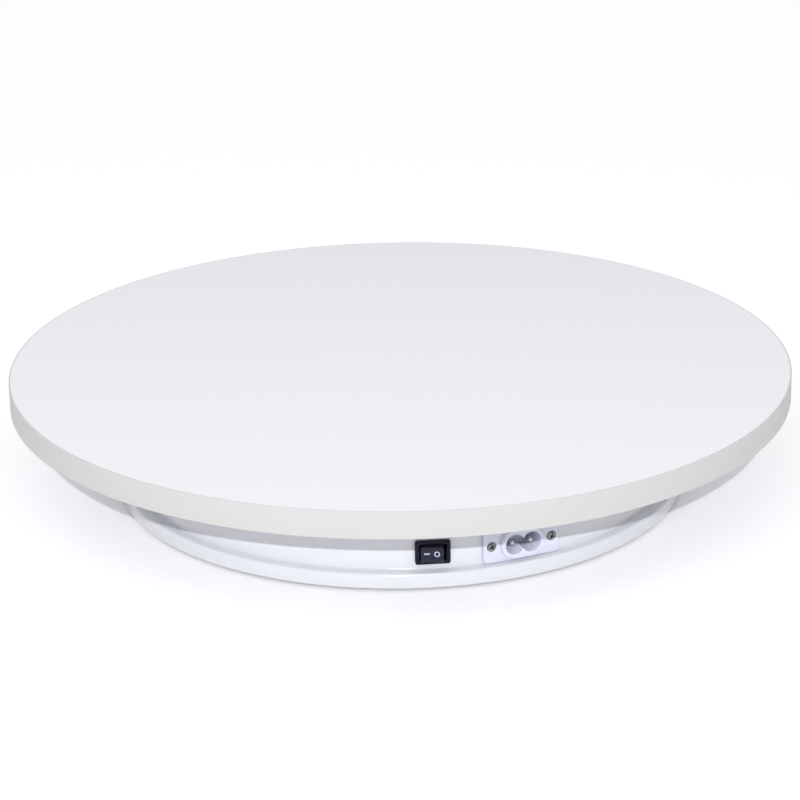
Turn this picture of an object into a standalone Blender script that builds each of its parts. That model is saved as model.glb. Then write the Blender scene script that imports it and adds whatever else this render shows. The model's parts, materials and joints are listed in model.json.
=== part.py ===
"""Mains-powered turntable display stand: a 350 mm platter on a geared, roller-carried base.

The frame is metres with +Z up. The origin is on the platter's axis, on the surface that the feet
stand on, and the power inlet faces -Y. An azimuth is measured from -Y towards +X.
"""

import math

import bmesh
import bpy
from mathutils import Vector

MM = 0.001

# Driving dimensions
PLATTER_RADIUS = 175 * MM
PLATTER_THICKNESS = 12 * MM
PLATTER_TOP = 56.5 * MM
BASE_RADIUS = 127.6 * MM
WALL_RADIUS = 122.5 * MM
BASE_BOTTOM = 1.5 * MM
LEDGE_TOP = BASE_BOTTOM + 6.8 * MM
DECK_TOP = 39 * MM
SHELL = 2.5 * MM
TOUCHING_GAP = 0.3 * MM
FIT_GAP = 0.1 * MM

# Stack under the platter
PLATTER_BOTTOM = PLATTER_TOP - PLATTER_THICKNESS
BAND_THICKNESS = 0.5 * MM
CARRIER_TOP = PLATTER_BOTTOM - TOUCHING_GAP
CARRIER_THICKNESS = 3.2 * MM
CARRIER_BOTTOM = CARRIER_TOP - CARRIER_THICKNESS
CARRIER_RADIUS = 112 * MM
DECK_BOTTOM = DECK_TOP - 3 * MM
WELL_RADIUS = 71 * MM
WELL_FLOOR = 28.5 * MM
WELL_UNDER = WELL_FLOOR - SHELL

# Ring gear and pinion
MODULE = 2 * MM
RING_TEETH = 60
PINION_TEETH = 15
PRESSURE_ANGLE = math.radians(20)
BACKLASH = 0.3 * MM
RING_PITCH_RADIUS = MODULE * RING_TEETH / 2
PINION_PITCH_RADIUS = MODULE * PINION_TEETH / 2
RING_OUTER_RADIUS = 66.5 * MM
RING_TOP = CARRIER_BOTTOM - TOUCHING_GAP
RING_BOTTOM = RING_TOP - 8 * MM
PINION_TOP = 38.7 * MM
PINION_BOTTOM = 30.7 * MM

# Motor, under the well floor
MOTOR_Y = RING_PITCH_RADIUS - PINION_PITCH_RADIUS
MOTOR_RADIUS = 25 * MM
MOTOR_TOP = WELL_UNDER - TOUCHING_GAP
MOTOR_HEIGHT = 19 * MM
MOTOR_EAR_X = 29 * MM
MOTOR_EAR_THICKNESS = 1 * MM
MOTOR_EAR_BOTTOM = MOTOR_TOP - MOTOR_EAR_THICKNESS - 0.2 * MM
SHAFT_RADIUS = 3.5 * MM
SHAFT_FLAT = 2.6 * MM

# Spindle and its bush, on the platter's axis
SPINDLE_RADIUS = 4 * MM
SPINDLE_FLANGE_RADIUS = 8 * MM
SPINDLE_BOTTOM = 12.5 * MM
BUSH_RADIUS = 6 * MM
BOSS_BOTTOM = 17.3 * MM
GROOVE_RADIUS = 3 * MM
CLIP_BOTTOM = 14.6 * MM
CLIP_THICKNESS = 0.7 * MM

# Rollers that carry the platter
ROLLER_AZIMUTHS = [30, 90, 150, 210, 270, 330]
ROLLER_CIRCLE = 100 * MM
ROLLER_RADIUS = 7 * MM
ROLLER_WIDTH = 8 * MM
ROLLER_Z = CARRIER_BOTTOM - TOUCHING_GAP - ROLLER_RADIUS
AXLE_RADIUS = 1.5 * MM
AXLE_LENGTH = 18.4 * MM

# Panel fittings in the wall
PANEL_Z = BASE_BOTTOM + 14.8 * MM
INLET_AZIMUTH = 0
SWITCH_AZIMUTH = -18.1
SEAT_RADIUS = WALL_RADIUS + TOUCHING_GAP
WALL_CUT = (WALL_RADIUS - 8 * MM, WALL_RADIUS + 4 * MM)
INLET_FLAT = 121.3 * MM
INLET_SEAT = INLET_FLAT + TOUCHING_GAP
INLET_BACKING = 118 * MM
FLANGE_SIZE = (35.1 * MM, 15.4 * MM, 2 * MM)
SOCKET_RIM = (20.2 * MM, 13 * MM, 2.2 * MM)
SOCKET_BODY = (21.6 * MM, 13 * MM, 10.8 * MM)
SOCKET_DEPTH = 11 * MM
LOBE_RADIUS = 4.4 * MM
LOBE_X = 3.8 * MM
WAIST_HALF_HEIGHT = 2.4 * MM
PIN_X = 4.3 * MM
PIN_RADIUS = 1.2 * MM
PIN_TAIL = 6 * MM
INLET_SCREW_X = 14 * MM
INLET_SCREW_HEAD = 1.95 * MM
INLET_SCREW_SHANK = 1 * MM
HEAD_LIP = 0.25 * MM
BEZEL_SIZE = (15 * MM, 10.5 * MM, 1.8 * MM)
SWITCH_BODY = (13 * MM, 8.6 * MM, 12 * MM)
SWITCH_CAVITY = (11.4 * MM, 7.2 * MM, 7.5 * MM)
ROCKER_HALF_LENGTH = 4.9 * MM
ROCKER_HEIGHT = 6.8 * MM
ROCKER_PIVOT = 123.5 * MM
ROCKER_TILT = math.radians(-10)

# Bottom plate, feet and columns
PLATE_RADIUS = 124.7 * MM
PLATE_BOTTOM = 3 * MM
PLATE_THICKNESS = 2.4 * MM
PLATE_TOP = PLATE_BOTTOM + PLATE_THICKNESS
COLUMN_CIRCLE = 112 * MM
COLUMN_AZIMUTHS = [60, 120, 240, 300]
FOOT_CIRCLE = 106 * MM
FOOT_AZIMUTHS = [45, 135, 225, 315]
FOOT_RADIUS = 8 * MM
PLATTER_SCREW_CIRCLE = 90 * MM
GEAR_SCREW_CIRCLE = 64.3 * MM
QUARTER_AZIMUTHS = [45, 135, 225, 315]

PARTS = "turntable_display_stand"
CUTTERS = "cutters"


# ---------------------------------------------------------------- scene and materials


def clear_scene():
    for obj in list(bpy.data.objects):
        bpy.data.objects.remove(obj)
    for name in (PARTS, CUTTERS):
        collection = bpy.data.collections.new(name)
        bpy.context.scene.collection.children.link(collection)


def material(name, colour, roughness, metallic=0.0):
    """A Principled BSDF material, made once for each name."""
    found = bpy.data.materials.get(name)
    if found:
        return found
    made = bpy.data.materials.new(name)
    made.use_nodes = True
    shader = made.node_tree.nodes["Principled BSDF"]
    shader.inputs["Base Color"].default_value = (*colour, 1)
    shader.inputs["Roughness"].default_value = roughness
    shader.inputs["Metallic"].default_value = metallic
    made.diffuse_color = (*colour, 1)
    return made


def white_laminate():
    return material("white_laminate", (0.88, 0.90, 0.93), 0.3)


def edge_plastic():
    return material("edge_plastic", (0.82, 0.82, 0.81), 0.5)


def shell_plastic():
    return material("shell_plastic", (0.90, 0.90, 0.93), 0.2)


def gear_plastic():
    return material("gear_plastic", (0.85, 0.84, 0.78), 0.4)


def black_plastic():
    return material("black_plastic", (0.02, 0.02, 0.025), 0.3)


def rubber():
    return material("rubber", (0.04, 0.04, 0.04), 0.8)


def zinc_steel():
    return material("zinc_steel", (0.60, 0.60, 0.58), 0.35, 1.0)


def nickel():
    return material("nickel", (0.72, 0.69, 0.62), 0.2, 1.0)


def bronze():
    return material("bronze", (0.60, 0.42, 0.22), 0.4, 1.0)


def wire_plastic(name, colour):
    return material(name, colour, 0.45)


# ---------------------------------------------------------------- shape tools


def new_object(name, data, finish, parent=None):
    """finish is the part's material, or None for a cutter or other helper."""
    obj = bpy.data.objects.new(name, data)
    if finish:
        data.materials.append(finish)
        bpy.data.collections[PARTS].objects.link(obj)
    else:
        bpy.data.collections[CUTTERS].objects.link(obj)
        obj.hide_render = True
        obj.display_type = "WIRE"
    obj.parent = parent
    return obj


def frame_at(azimuth):
    """An empty on the platter's axis whose -Y points to this azimuth, in degrees."""
    name = f"azimuth_{azimuth:g}"
    found = bpy.data.objects.get(name)
    if found:
        return found
    empty = bpy.data.objects.new(name, None)
    empty.rotation_euler.z = math.radians(azimuth)
    bpy.data.collections[PARTS].objects.link(empty)
    return empty


def shade(mesh, sharp_degrees=35):
    mesh.shade_smooth()
    mesh.set_sharp_from_angle(angle=math.radians(sharp_degrees))


def turned(name, profile, segments, finish=None, parent=None):
    """Spins (radius, height) points round Z. A profile that starts on the axis runs out, down and
    back to it; any other is a closed loop that runs down its outer side."""
    on_axis = profile[0][0] == 0
    mesh = bpy.data.meshes.new(name)
    edges = [(i, i + 1) for i in range(len(profile) - 1)]
    if not on_axis:
        edges.append((len(profile) - 1, 0))
    mesh.from_pydata([(radius, 0, height) for radius, height in profile], edges, [])
    obj = new_object(name, mesh, finish, parent)
    screw = obj.modifiers.new("spin", "SCREW")
    screw.axis = "Z"
    screw.angle = 2 * math.pi
    screw.steps = segments
    screw.render_steps = segments
    screw.use_merge_vertices = True
    screw.merge_threshold = 0.00001
    screw.use_smooth_shade = False
    return obj


def box(name, low, high, finish=None, parent=None):
    """A box between two corners."""
    work = bmesh.new()
    bmesh.ops.create_cube(work, size=1)
    low, high = Vector(low), Vector(high)
    centre = (low + high) / 2
    for vertex in work.verts:
        vertex.co = Vector(a * b for a, b in zip(vertex.co, high - low)) + centre
    mesh = bpy.data.meshes.new(name)
    work.to_mesh(mesh)
    work.free()
    return new_object(name, mesh, finish, parent)


def rod(name, radius, bottom, top, segments, finish=None, parent=None, place=(0, 0)):
    """An upright cylinder between two heights."""
    work = bmesh.new()
    bmesh.ops.create_cone(
        work, cap_ends=True, segments=segments, radius1=radius, radius2=radius, depth=top - bottom
    )
    mesh = bpy.data.meshes.new(name)
    work.to_mesh(mesh)
    work.free()
    obj = new_object(name, mesh, finish, parent)
    obj.location = (*place, (bottom + top) / 2)
    return obj


def plate(name, outlines, thickness, finish=None, parent=None):
    """A flat plate centred on its own XY plane. The first outline is its edge, the others holes."""
    curve = bpy.data.curves.new(name, "CURVE")
    curve.dimensions = "2D"
    curve.fill_mode = "BOTH"
    curve.extrude = thickness / 2
    for outline in outlines:
        spline = curve.splines.new("POLY")
        spline.points.add(len(outline) - 1)
        for point, (x, y) in zip(spline.points, outline):
            point.co = (x, y, 0, 1)
        spline.use_cyclic_u = True
    return to_mesh(new_object(name, curve, finish, parent))


def to_mesh(curve_object):
    """The mesh object that takes a curve object's place, with its caps welded."""
    bpy.context.view_layer.update()
    name = curve_object.name
    evaluated = curve_object.evaluated_get(bpy.context.evaluated_depsgraph_get())
    mesh = bpy.data.meshes.new_from_object(evaluated)
    work = bmesh.new()
    work.from_mesh(mesh)
    bmesh.ops.remove_doubles(work, verts=work.verts, dist=0.000001)
    bmesh.ops.recalc_face_normals(work, faces=work.faces)
    work.to_mesh(mesh)
    work.free()
    obj = bpy.data.objects.new(name, mesh)
    for collection in curve_object.users_collection:
        collection.objects.link(obj)
    obj.hide_render = curve_object.hide_render
    obj.display_type = curve_object.display_type
    obj.parent = curve_object.parent
    obj.location = curve_object.location
    obj.rotation_euler = curve_object.rotation_euler
    bpy.data.objects.remove(curve_object)
    obj.name = name
    mesh.name = name
    return obj


def combine(target, operation, others):
    """Cuts (DIFFERENCE) the other objects from the target, or joins (UNION) them to it."""
    for other in others:
        boolean = target.modifiers.new(f"{operation.lower()} {other.name}", "BOOLEAN")
        boolean.operation = operation
        boolean.object = other
    return target


def cut(target, *cutters):
    return combine(target, "DIFFERENCE", cutters)


def join(target, *pieces):
    return combine(target, "UNION", pieces)


def arc(centre, radius, start, end, steps):
    """Points along an arc, with both ends. Angles are in degrees."""
    angles = [math.radians(start + (end - start) * i / steps) for i in range(steps + 1)]
    return [(centre[0] + radius * math.cos(a), centre[1] + radius * math.sin(a)) for a in angles]


def circle(radius, segments):
    """A closed circle of points that has a flat side, not a corner, on +X."""
    first = 180 / segments
    return arc((0, 0), radius, first, 360 + first, segments)[:-1]


def rounded_rectangle(width, height, corner, steps=3):
    x, y = width / 2 - corner, height / 2 - corner
    return (
        arc((x, y), corner, 0, 90, steps)
        + arc((-x, y), corner, 90, 180, steps)
        + arc((-x, -y), corner, 180, 270, steps)
        + arc((x, -y), corner, 270, 360, steps)
    )


def stadium(width, height, steps=8):
    x = (width - height) / 2
    return arc((x, 0), height / 2, -90, 90, steps) + arc((-x, 0), height / 2, 90, 270, steps)


def stand_upright(obj, near, far, z=PANEL_Z, x=0.0):
    """Turns a flat plate so that it faces -Y, between two distances from the platter's axis."""
    obj.rotation_euler.x = math.pi / 2
    obj.location = (x, -(near + far) / 2, z)
    return obj


def panel_plate(name, outline, near, far, finish=None, parent=None, x=0.0):
    """An outline stood up to face -Y, solid between two distances from the platter's axis."""
    made = plate(name, [outline], far - near, finish, parent)
    return stand_upright(made, near, far, x=x)


def screw(name, head_radius, head_height, shank_radius, length, finish, parent=None):
    """A pan-head screw, head down, with the head's seat at its origin and the shank along +Z."""
    dome = 0.3 * head_height
    tip = 1.2 * shank_radius
    profile = [
        (0, length),
        (shank_radius, length - tip),
        (shank_radius, 0),
        (head_radius, 0),
        (head_radius, -head_height + 2 * dome),
        (0.7 * head_radius, -head_height),
        (0, -head_height),
    ]
    return turned(name, profile, 12, finish, parent)


def countersunk_screw(name, head_radius, shank_radius, length, finish, parent=None, dome=0.0):
    """A countersunk screw, head down, with the head's edge at its origin. A dome makes the head
    stand that far out of its countersink."""
    cone = head_radius - shank_radius
    tip = 1.2 * shank_radius
    profile = [
        (0, length),
        (shank_radius, length - tip),
        (shank_radius, HEAD_LIP + cone),
        (head_radius, HEAD_LIP),
        (head_radius, 0),
    ]
    if dome:
        profile.append((0.6 * head_radius, -0.7 * dome))
    profile.append((0, -dome))
    return turned(name, profile, 12, finish, parent)


# ---------------------------------------------------------------- gear teeth


def involute(angle):
    return math.tan(angle) - angle


def tooth_outline(teeth, tip_radius, root_radius, pitch_thickness, flank_steps):
    """An external gear's outline with one tooth centred on +Y. Below the base circle the flanks
    run radially."""
    pitch_radius = MODULE * teeth / 2
    base_radius = pitch_radius * math.cos(PRESSURE_ANGLE)
    start = max(base_radius, root_radius)
    radii = [start + (tip_radius - start) * i / flank_steps for i in range(flank_steps + 1)]
    flank = []
    if root_radius < base_radius:
        flank.append((root_radius, base_radius))
    flank += [(radius, radius) for radius in radii]
    half = pitch_thickness / 2 / pitch_radius + involute(PRESSURE_ANGLE)
    points = []
    for tooth in range(teeth):
        middle = math.pi / 2 - 2 * math.pi * tooth / teeth
        sides = []
        for radius, on_involute in flank:
            spread = half - involute(math.acos(min(1.0, base_radius / on_involute)))
            sides.append((radius, spread))
        rising = [(radius, middle + spread) for radius, spread in sides]
        falling = [(radius, middle - spread) for radius, spread in reversed(sides)]
        points += rising + falling
    return [(radius * math.cos(angle), radius * math.sin(angle)) for radius, angle in points]


# ---------------------------------------------------------------- platter and what turns with it


def build_platter():
    band_inner = PLATTER_RADIUS - BAND_THICKNESS
    board_radius = band_inner - FIT_GAP
    ease = 0.25 * MM
    board = turned(
        "platter_board",
        [
            (0, PLATTER_TOP),
            (board_radius, PLATTER_TOP),
            (board_radius, PLATTER_BOTTOM),
            (0, PLATTER_BOTTOM),
        ],
        96,
        white_laminate(),
    )
    for number, azimuth in enumerate(QUARTER_AZIMUTHS, 1):
        pilot = rod(
            f"pilot_hole_{number}",
            1.9 * MM,
            PLATTER_BOTTOM - 1 * MM,
            PLATTER_BOTTOM + 8.5 * MM,
            10,
            parent=frame_at(azimuth),
            place=(0, -PLATTER_SCREW_CIRCLE),
        )
        cut(board, pilot)
    turned(
        "platter_edge_band",
        [
            (band_inner, PLATTER_TOP),
            (PLATTER_RADIUS - ease, PLATTER_TOP),
            (PLATTER_RADIUS, PLATTER_TOP - ease),
            (PLATTER_RADIUS, PLATTER_BOTTOM + ease),
            (PLATTER_RADIUS - ease, PLATTER_BOTTOM),
            (band_inner, PLATTER_BOTTOM),
        ],
        96,
        edge_plastic(),
    )


def build_carrier():
    """The disc that the platter is screwed to: a flat roller track, a hub and a gear rim."""
    hub_radius = 13 * MM
    hub_bottom = CARRIER_BOTTOM - 9.5 * MM
    rim_inner = RING_OUTER_RADIUS + TOUCHING_GAP
    rim_outer = rim_inner + 2 * MM
    rim_bottom = CARRIER_BOTTOM - 3.5 * MM
    bore = SPINDLE_RADIUS + FIT_GAP
    counterbore = SPINDLE_FLANGE_RADIUS + TOUCHING_GAP
    counterbore_floor = CARRIER_BOTTOM + 0.2 * MM
    disc = turned(
        "carrier_disc",
        [
            (counterbore, CARRIER_TOP),
            (CARRIER_RADIUS, CARRIER_TOP),
            (CARRIER_RADIUS, CARRIER_BOTTOM),
            (rim_outer, CARRIER_BOTTOM),
            (rim_outer, rim_bottom),
            (rim_inner, rim_bottom),
            (rim_inner, CARRIER_BOTTOM),
            (hub_radius, CARRIER_BOTTOM),
            (hub_radius, hub_bottom),
            (bore, hub_bottom),
            (bore, counterbore_floor),
            (counterbore, counterbore_floor),
        ],
        48,
        gear_plastic(),
    )
    for number, azimuth in enumerate(QUARTER_AZIMUTHS, 1):
        frame = frame_at(azimuth)
        countersink = turned(
            f"countersink_{number}",
            [
                (0, CARRIER_TOP + 1 * MM),
                (1.8 * MM, CARRIER_TOP + 1 * MM),
                (1.8 * MM, CARRIER_BOTTOM + 2.3 * MM),
                (3.8 * MM, CARRIER_BOTTOM + 0.3 * MM),
                (3.8 * MM, CARRIER_BOTTOM - 1 * MM),
                (0, CARRIER_BOTTOM - 1 * MM),
            ],
            12,
            parent=frame,
        )
        countersink.location.y = -PLATTER_SCREW_CIRCLE
        gear_hole = turned(
            f"gear_screw_hole_{number}",
            [
                (0, CARRIER_TOP + 1 * MM),
                (2.4 * MM, CARRIER_TOP + 1 * MM),
                (2.4 * MM, CARRIER_TOP - 1.8 * MM),
                (1.2 * MM, CARRIER_TOP - 1.8 * MM),
                (1.2 * MM, CARRIER_BOTTOM - 1 * MM),
                (0, CARRIER_BOTTOM - 1 * MM),
            ],
            10,
            parent=frame,
        )
        gear_hole.location.y = -GEAR_SCREW_CIRCLE
        cut(disc, countersink, gear_hole)


def build_platter_screws():
    """Countersunk screws that come up through the carrier disc into the board."""
    for number, azimuth in enumerate(QUARTER_AZIMUTHS, 1):
        made = countersunk_screw(
            f"platter_screw_{number}", 3.5 * MM, 1.5 * MM, 11 * MM, zinc_steel(), frame_at(azimuth)
        )
        made.location = (0, -PLATTER_SCREW_CIRCLE, CARRIER_BOTTOM + 0.1 * MM)


def build_ring_gear():
    """An internal gear. Its inner edge is the outline of a gear that just fills its tooth spaces."""
    spaces = tooth_outline(
        RING_TEETH,
        tip_radius=RING_PITCH_RADIUS + 1.25 * MODULE,
        root_radius=RING_PITCH_RADIUS - 0.7 * MODULE,
        pitch_thickness=math.pi * MODULE / 2,
        flank_steps=1,
    )
    gear = plate(
        "ring_gear",
        [circle(RING_OUTER_RADIUS, 60), spaces],
        RING_TOP - RING_BOTTOM,
        gear_plastic(),
    )
    gear.location.z = (RING_TOP + RING_BOTTOM) / 2
    for number, azimuth in enumerate(QUARTER_AZIMUTHS, 1):
        hole = rod(
            f"gear_pilot_{number}",
            1.1 * MM,
            RING_TOP - 4.5 * MM,
            RING_TOP + 1 * MM,
            8,
            parent=frame_at(azimuth),
            place=(0, -GEAR_SCREW_CIRCLE),
        )
        cut(gear, hole)
        fastener = screw(
            f"gear_screw_{number}", 2 * MM, 1.3 * MM, 1 * MM, 6 * MM, zinc_steel(), frame_at(azimuth)
        )
        fastener.rotation_euler.x = math.pi
        fastener.location = (0, -GEAR_SCREW_CIRCLE, CARRIER_TOP - 1.7 * MM)


def build_spindle():
    flange_top = CARRIER_TOP - TOUCHING_GAP
    flange_bottom = CARRIER_BOTTOM + 0.5 * MM
    chamfer = 0.6 * MM
    turned(
        "spindle",
        [
            (0, flange_top),
            (SPINDLE_FLANGE_RADIUS, flange_top),
            (SPINDLE_FLANGE_RADIUS, flange_bottom),
            (SPINDLE_RADIUS, flange_bottom),
            (SPINDLE_RADIUS, CLIP_BOTTOM + CLIP_THICKNESS + FIT_GAP),
            (GROOVE_RADIUS, CLIP_BOTTOM + CLIP_THICKNESS + FIT_GAP),
            (GROOVE_RADIUS, CLIP_BOTTOM - FIT_GAP),
            (SPINDLE_RADIUS, CLIP_BOTTOM - FIT_GAP),
            (SPINDLE_RADIUS, SPINDLE_BOTTOM + chamfer),
            (SPINDLE_RADIUS - chamfer, SPINDLE_BOTTOM),
            (0, SPINDLE_BOTTOM),
        ],
        24,
        zinc_steel(),
    )
    washer_bottom = CLIP_BOTTOM + CLIP_THICKNESS + 2 * FIT_GAP
    washer_top = washer_bottom + 1 * MM
    turned(
        "spindle_washer",
        [
            (SPINDLE_RADIUS + FIT_GAP, washer_top),
            (8 * MM, washer_top),
            (8 * MM, washer_bottom),
            (SPINDLE_RADIUS + FIT_GAP, washer_bottom),
        ],
        24,
        zinc_steel(),
    )
    opening = 35
    clip = plate(
        "spindle_clip",
        [
            arc((0, 0), 6.5 * MM, opening, 360 - opening, 20)
            + arc((0, 0), GROOVE_RADIUS + FIT_GAP, 360 - opening, opening, 14)
        ],
        CLIP_THICKNESS,
        zinc_steel(),
    )
    clip.location.z = CLIP_BOTTOM + CLIP_THICKNESS / 2


# ---------------------------------------------------------------- base


def build_base_shell():
    """The white moulding: a rim and ledge, the wall, a roller deck and a central gear well."""
    inner_wall = WALL_RADIUS - SHELL
    rim_inner = BASE_RADIUS - SHELL
    round_over = 1 * MM
    shoulder = 3 * MM
    draft = 0.4 * MM
    shell = turned(
        "base_shell",
        [
            (WELL_RADIUS, DECK_TOP),
            (WALL_RADIUS - shoulder, DECK_TOP),
            (WALL_RADIUS - 0.3 * shoulder, DECK_TOP - 0.3 * shoulder),
            (WALL_RADIUS, DECK_TOP - shoulder),
            (WALL_RADIUS, LEDGE_TOP),
            (BASE_RADIUS - round_over, LEDGE_TOP),
            (BASE_RADIUS, LEDGE_TOP - round_over),
            (BASE_RADIUS - draft, BASE_BOTTOM),
            (rim_inner, BASE_BOTTOM),
            (rim_inner, LEDGE_TOP - SHELL),
            (inner_wall, LEDGE_TOP - SHELL),
            (inner_wall, DECK_BOTTOM),
            (WELL_RADIUS + SHELL, DECK_BOTTOM),
            (WELL_RADIUS + SHELL, WELL_UNDER),
            (BUSH_RADIUS + 3.5 * MM, WELL_UNDER),
            (BUSH_RADIUS + 3.5 * MM, BOSS_BOTTOM),
            (BUSH_RADIUS + FIT_GAP, BOSS_BOTTOM),
            (BUSH_RADIUS + FIT_GAP, WELL_FLOOR),
            (WELL_RADIUS, WELL_FLOOR),
        ],
        72,
        shell_plastic(),
    )
    add_roller_cradles(shell)
    add_columns(shell)
    add_motor_seat(shell)
    add_inlet_seat(shell)
    add_switch_seat(shell)


def add_roller_cradles(shell):
    """For each roller: two saddle blocks under the deck, a window for the roller and a slot that
    the axle drops into from above."""
    block_length = 6 * MM
    block_half_width = 4.5 * MM
    block_bottom = 29.5 * MM
    axle_end = AXLE_LENGTH / 2 + TOUCHING_GAP
    slot_half_width = AXLE_RADIUS + 0.15 * MM
    slot_bottom = ROLLER_Z - AXLE_RADIUS - 0.2 * MM
    window_half_length = 7.4 * MM
    window_half_width = ROLLER_WIDTH / 2 + 0.5 * MM
    above = DECK_TOP + 1 * MM
    for number, azimuth in enumerate(ROLLER_AZIMUTHS, 1):
        frame = frame_at(azimuth)
        for side, sign in (("inner", -1), ("outer", 1)):
            near = ROLLER_CIRCLE + sign * (axle_end + 2 * MM)
            far = near - sign * block_length
            join(
                shell,
                box(
                    f"cradle_{side}_{number}",
                    (-block_half_width, -max(near, far), block_bottom),
                    (block_half_width, -min(near, far), DECK_BOTTOM + 1 * MM),
                    parent=frame,
                ),
            )
        window = box(
            f"roller_window_{number}",
            (-window_half_length, -ROLLER_CIRCLE - window_half_width, DECK_BOTTOM - 1 * MM),
            (window_half_length, -ROLLER_CIRCLE + window_half_width, above),
            parent=frame,
        )
        slot = box(
            f"axle_slot_{number}",
            (-slot_half_width, -ROLLER_CIRCLE - axle_end, slot_bottom),
            (slot_half_width, -ROLLER_CIRCLE + axle_end, above),
            parent=frame,
        )
        cut(shell, window, slot)


def add_columns(shell):
    """Screw columns that hang from the deck and take the bottom plate's screws."""
    for number, azimuth in enumerate(COLUMN_AZIMUTHS, 1):
        frame = frame_at(azimuth)
        place = (0, -COLUMN_CIRCLE)
        column = rod(
            f"column_{number}",
            4 * MM,
            PLATE_TOP + TOUCHING_GAP,
            DECK_BOTTOM + 1 * MM,
            16,
            parent=frame,
            place=place,
        )
        bore = rod(f"column_bore_{number}", 1.8 * MM, 1 * MM, 16 * MM, 10, parent=frame, place=place)
        join(shell, column)
        cut(shell, bore)


def add_motor_seat(shell):
    """Two bosses above the well floor for the motor's screws, and a hole for its shaft."""
    for side, x in (("left", -MOTOR_EAR_X), ("right", MOTOR_EAR_X)):
        place = (x, MOTOR_Y)
        boss = rod(
            f"motor_boss_{side}", 4 * MM, WELL_FLOOR - 1 * MM, WELL_FLOOR + 3.2 * MM, 16, place=place
        )
        bore = rod(
            f"motor_bore_{side}", 2.1 * MM, WELL_UNDER - 1 * MM, WELL_FLOOR + 2.2 * MM, 12, place=place
        )
        join(shell, boss)
        cut(shell, bore)
    shaft_hole = rod(
        "shaft_hole", 6.5 * MM, WELL_UNDER - 1 * MM, WELL_FLOOR + 1 * MM, 20, place=(0, MOTOR_Y)
    )
    cut(shell, shaft_hole)


def add_inlet_seat(shell):
    """A flat cut into the round wall with a thicker backing, the socket's cut-out and two screw
    holes."""
    frame = frame_at(INLET_AZIMUTH)
    half_width = 18.5 * MM
    backing = box(
        "inlet_backing",
        (-half_width, -INLET_FLAT + 0.7 * MM, LEDGE_TOP - 1 * MM),
        (half_width, -INLET_BACKING, PANEL_Z + 9 * MM),
        parent=frame,
    )
    flat = box(
        "inlet_flat",
        (-half_width, -WALL_RADIUS - 0.2 * MM, LEDGE_TOP),
        (half_width, -INLET_FLAT, DECK_TOP + 1 * MM),
        parent=frame,
    )
    body_width, body_height, _ = SOCKET_BODY
    opening = panel_plate(
        "inlet_cutout",
        stadium(body_width + 2 * TOUCHING_GAP, body_height + 2 * TOUCHING_GAP),
        *WALL_CUT,
        parent=frame,
    )
    join(shell, backing)
    cut(shell, flat, opening)
    for side, x in (("left", -INLET_SCREW_X), ("right", INLET_SCREW_X)):
        hole = panel_plate(
            f"inlet_screw_hole_{side}",
            circle(INLET_SCREW_SHANK + 0.2 * MM, 12),
            *WALL_CUT,
            parent=frame,
            x=x,
        )
        cut(shell, hole)


def add_switch_seat(shell):
    """A flat pad on the round wall with the switch's cut-out."""
    frame = frame_at(SWITCH_AZIMUTH)
    half_width = 8.5 * MM
    pad = box(
        "switch_pad",
        (-half_width, -WALL_RADIUS, PANEL_Z - 6.2 * MM),
        (half_width, -WALL_RADIUS + 1.5 * MM, PANEL_Z + 6.2 * MM),
        parent=frame,
    )
    width, height, _ = SWITCH_BODY
    opening = box(
        "switch_cutout",
        (-width / 2 - TOUCHING_GAP, -WALL_CUT[1], PANEL_Z - height / 2 - TOUCHING_GAP),
        (width / 2 + TOUCHING_GAP, -WALL_CUT[0], PANEL_Z + height / 2 + TOUCHING_GAP),
        parent=frame,
    )
    join(shell, pad)
    cut(shell, opening)


def build_bottom_plate():
    made = turned(
        "bottom_plate",
        [
            (0, PLATE_TOP),
            (PLATE_RADIUS, PLATE_TOP),
            (PLATE_RADIUS, PLATE_BOTTOM),
            (0, PLATE_BOTTOM),
        ],
        72,
        shell_plastic(),
    )
    for number, azimuth in enumerate(COLUMN_AZIMUTHS, 1):
        frame = frame_at(azimuth)
        hole = rod(
            f"plate_hole_{number}", 1.8 * MM, 1 * MM, 8 * MM, 10, parent=frame, place=(0, -COLUMN_CIRCLE)
        )
        cut(made, hole)
        fastener = screw(
            f"plate_screw_{number}", 2.9 * MM, 1.9 * MM, 1.5 * MM, 12 * MM, zinc_steel(), frame
        )
        fastener.location = (0, -COLUMN_CIRCLE, PLATE_BOTTOM - 0.1 * MM)
    slots = 7
    pitch = 6 * MM
    for number in range(slots):
        x = (number - (slots - 1) / 2) * pitch
        half_length = 15 * MM if number in (0, slots - 1) else 18 * MM
        vent = box(
            f"vent_{number + 1}",
            (x - 1.25 * MM, MOTOR_Y - half_length, 1 * MM),
            (x + 1.25 * MM, MOTOR_Y + half_length, 8 * MM),
        )
        cut(made, vent)


def build_feet():
    for number, azimuth in enumerate(FOOT_AZIMUTHS, 1):
        foot = turned(
            f"foot_{number}",
            [
                (0, PLATE_BOTTOM - TOUCHING_GAP),
                (FOOT_RADIUS, PLATE_BOTTOM - TOUCHING_GAP),
                (FOOT_RADIUS - 0.2 * MM, 0.5 * MM),
                (FOOT_RADIUS - 0.7 * MM, 0),
                (0, 0),
            ],
            20,
            rubber(),
            frame_at(azimuth),
        )
        foot.location.y = -FOOT_CIRCLE


# ---------------------------------------------------------------- drive


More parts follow.
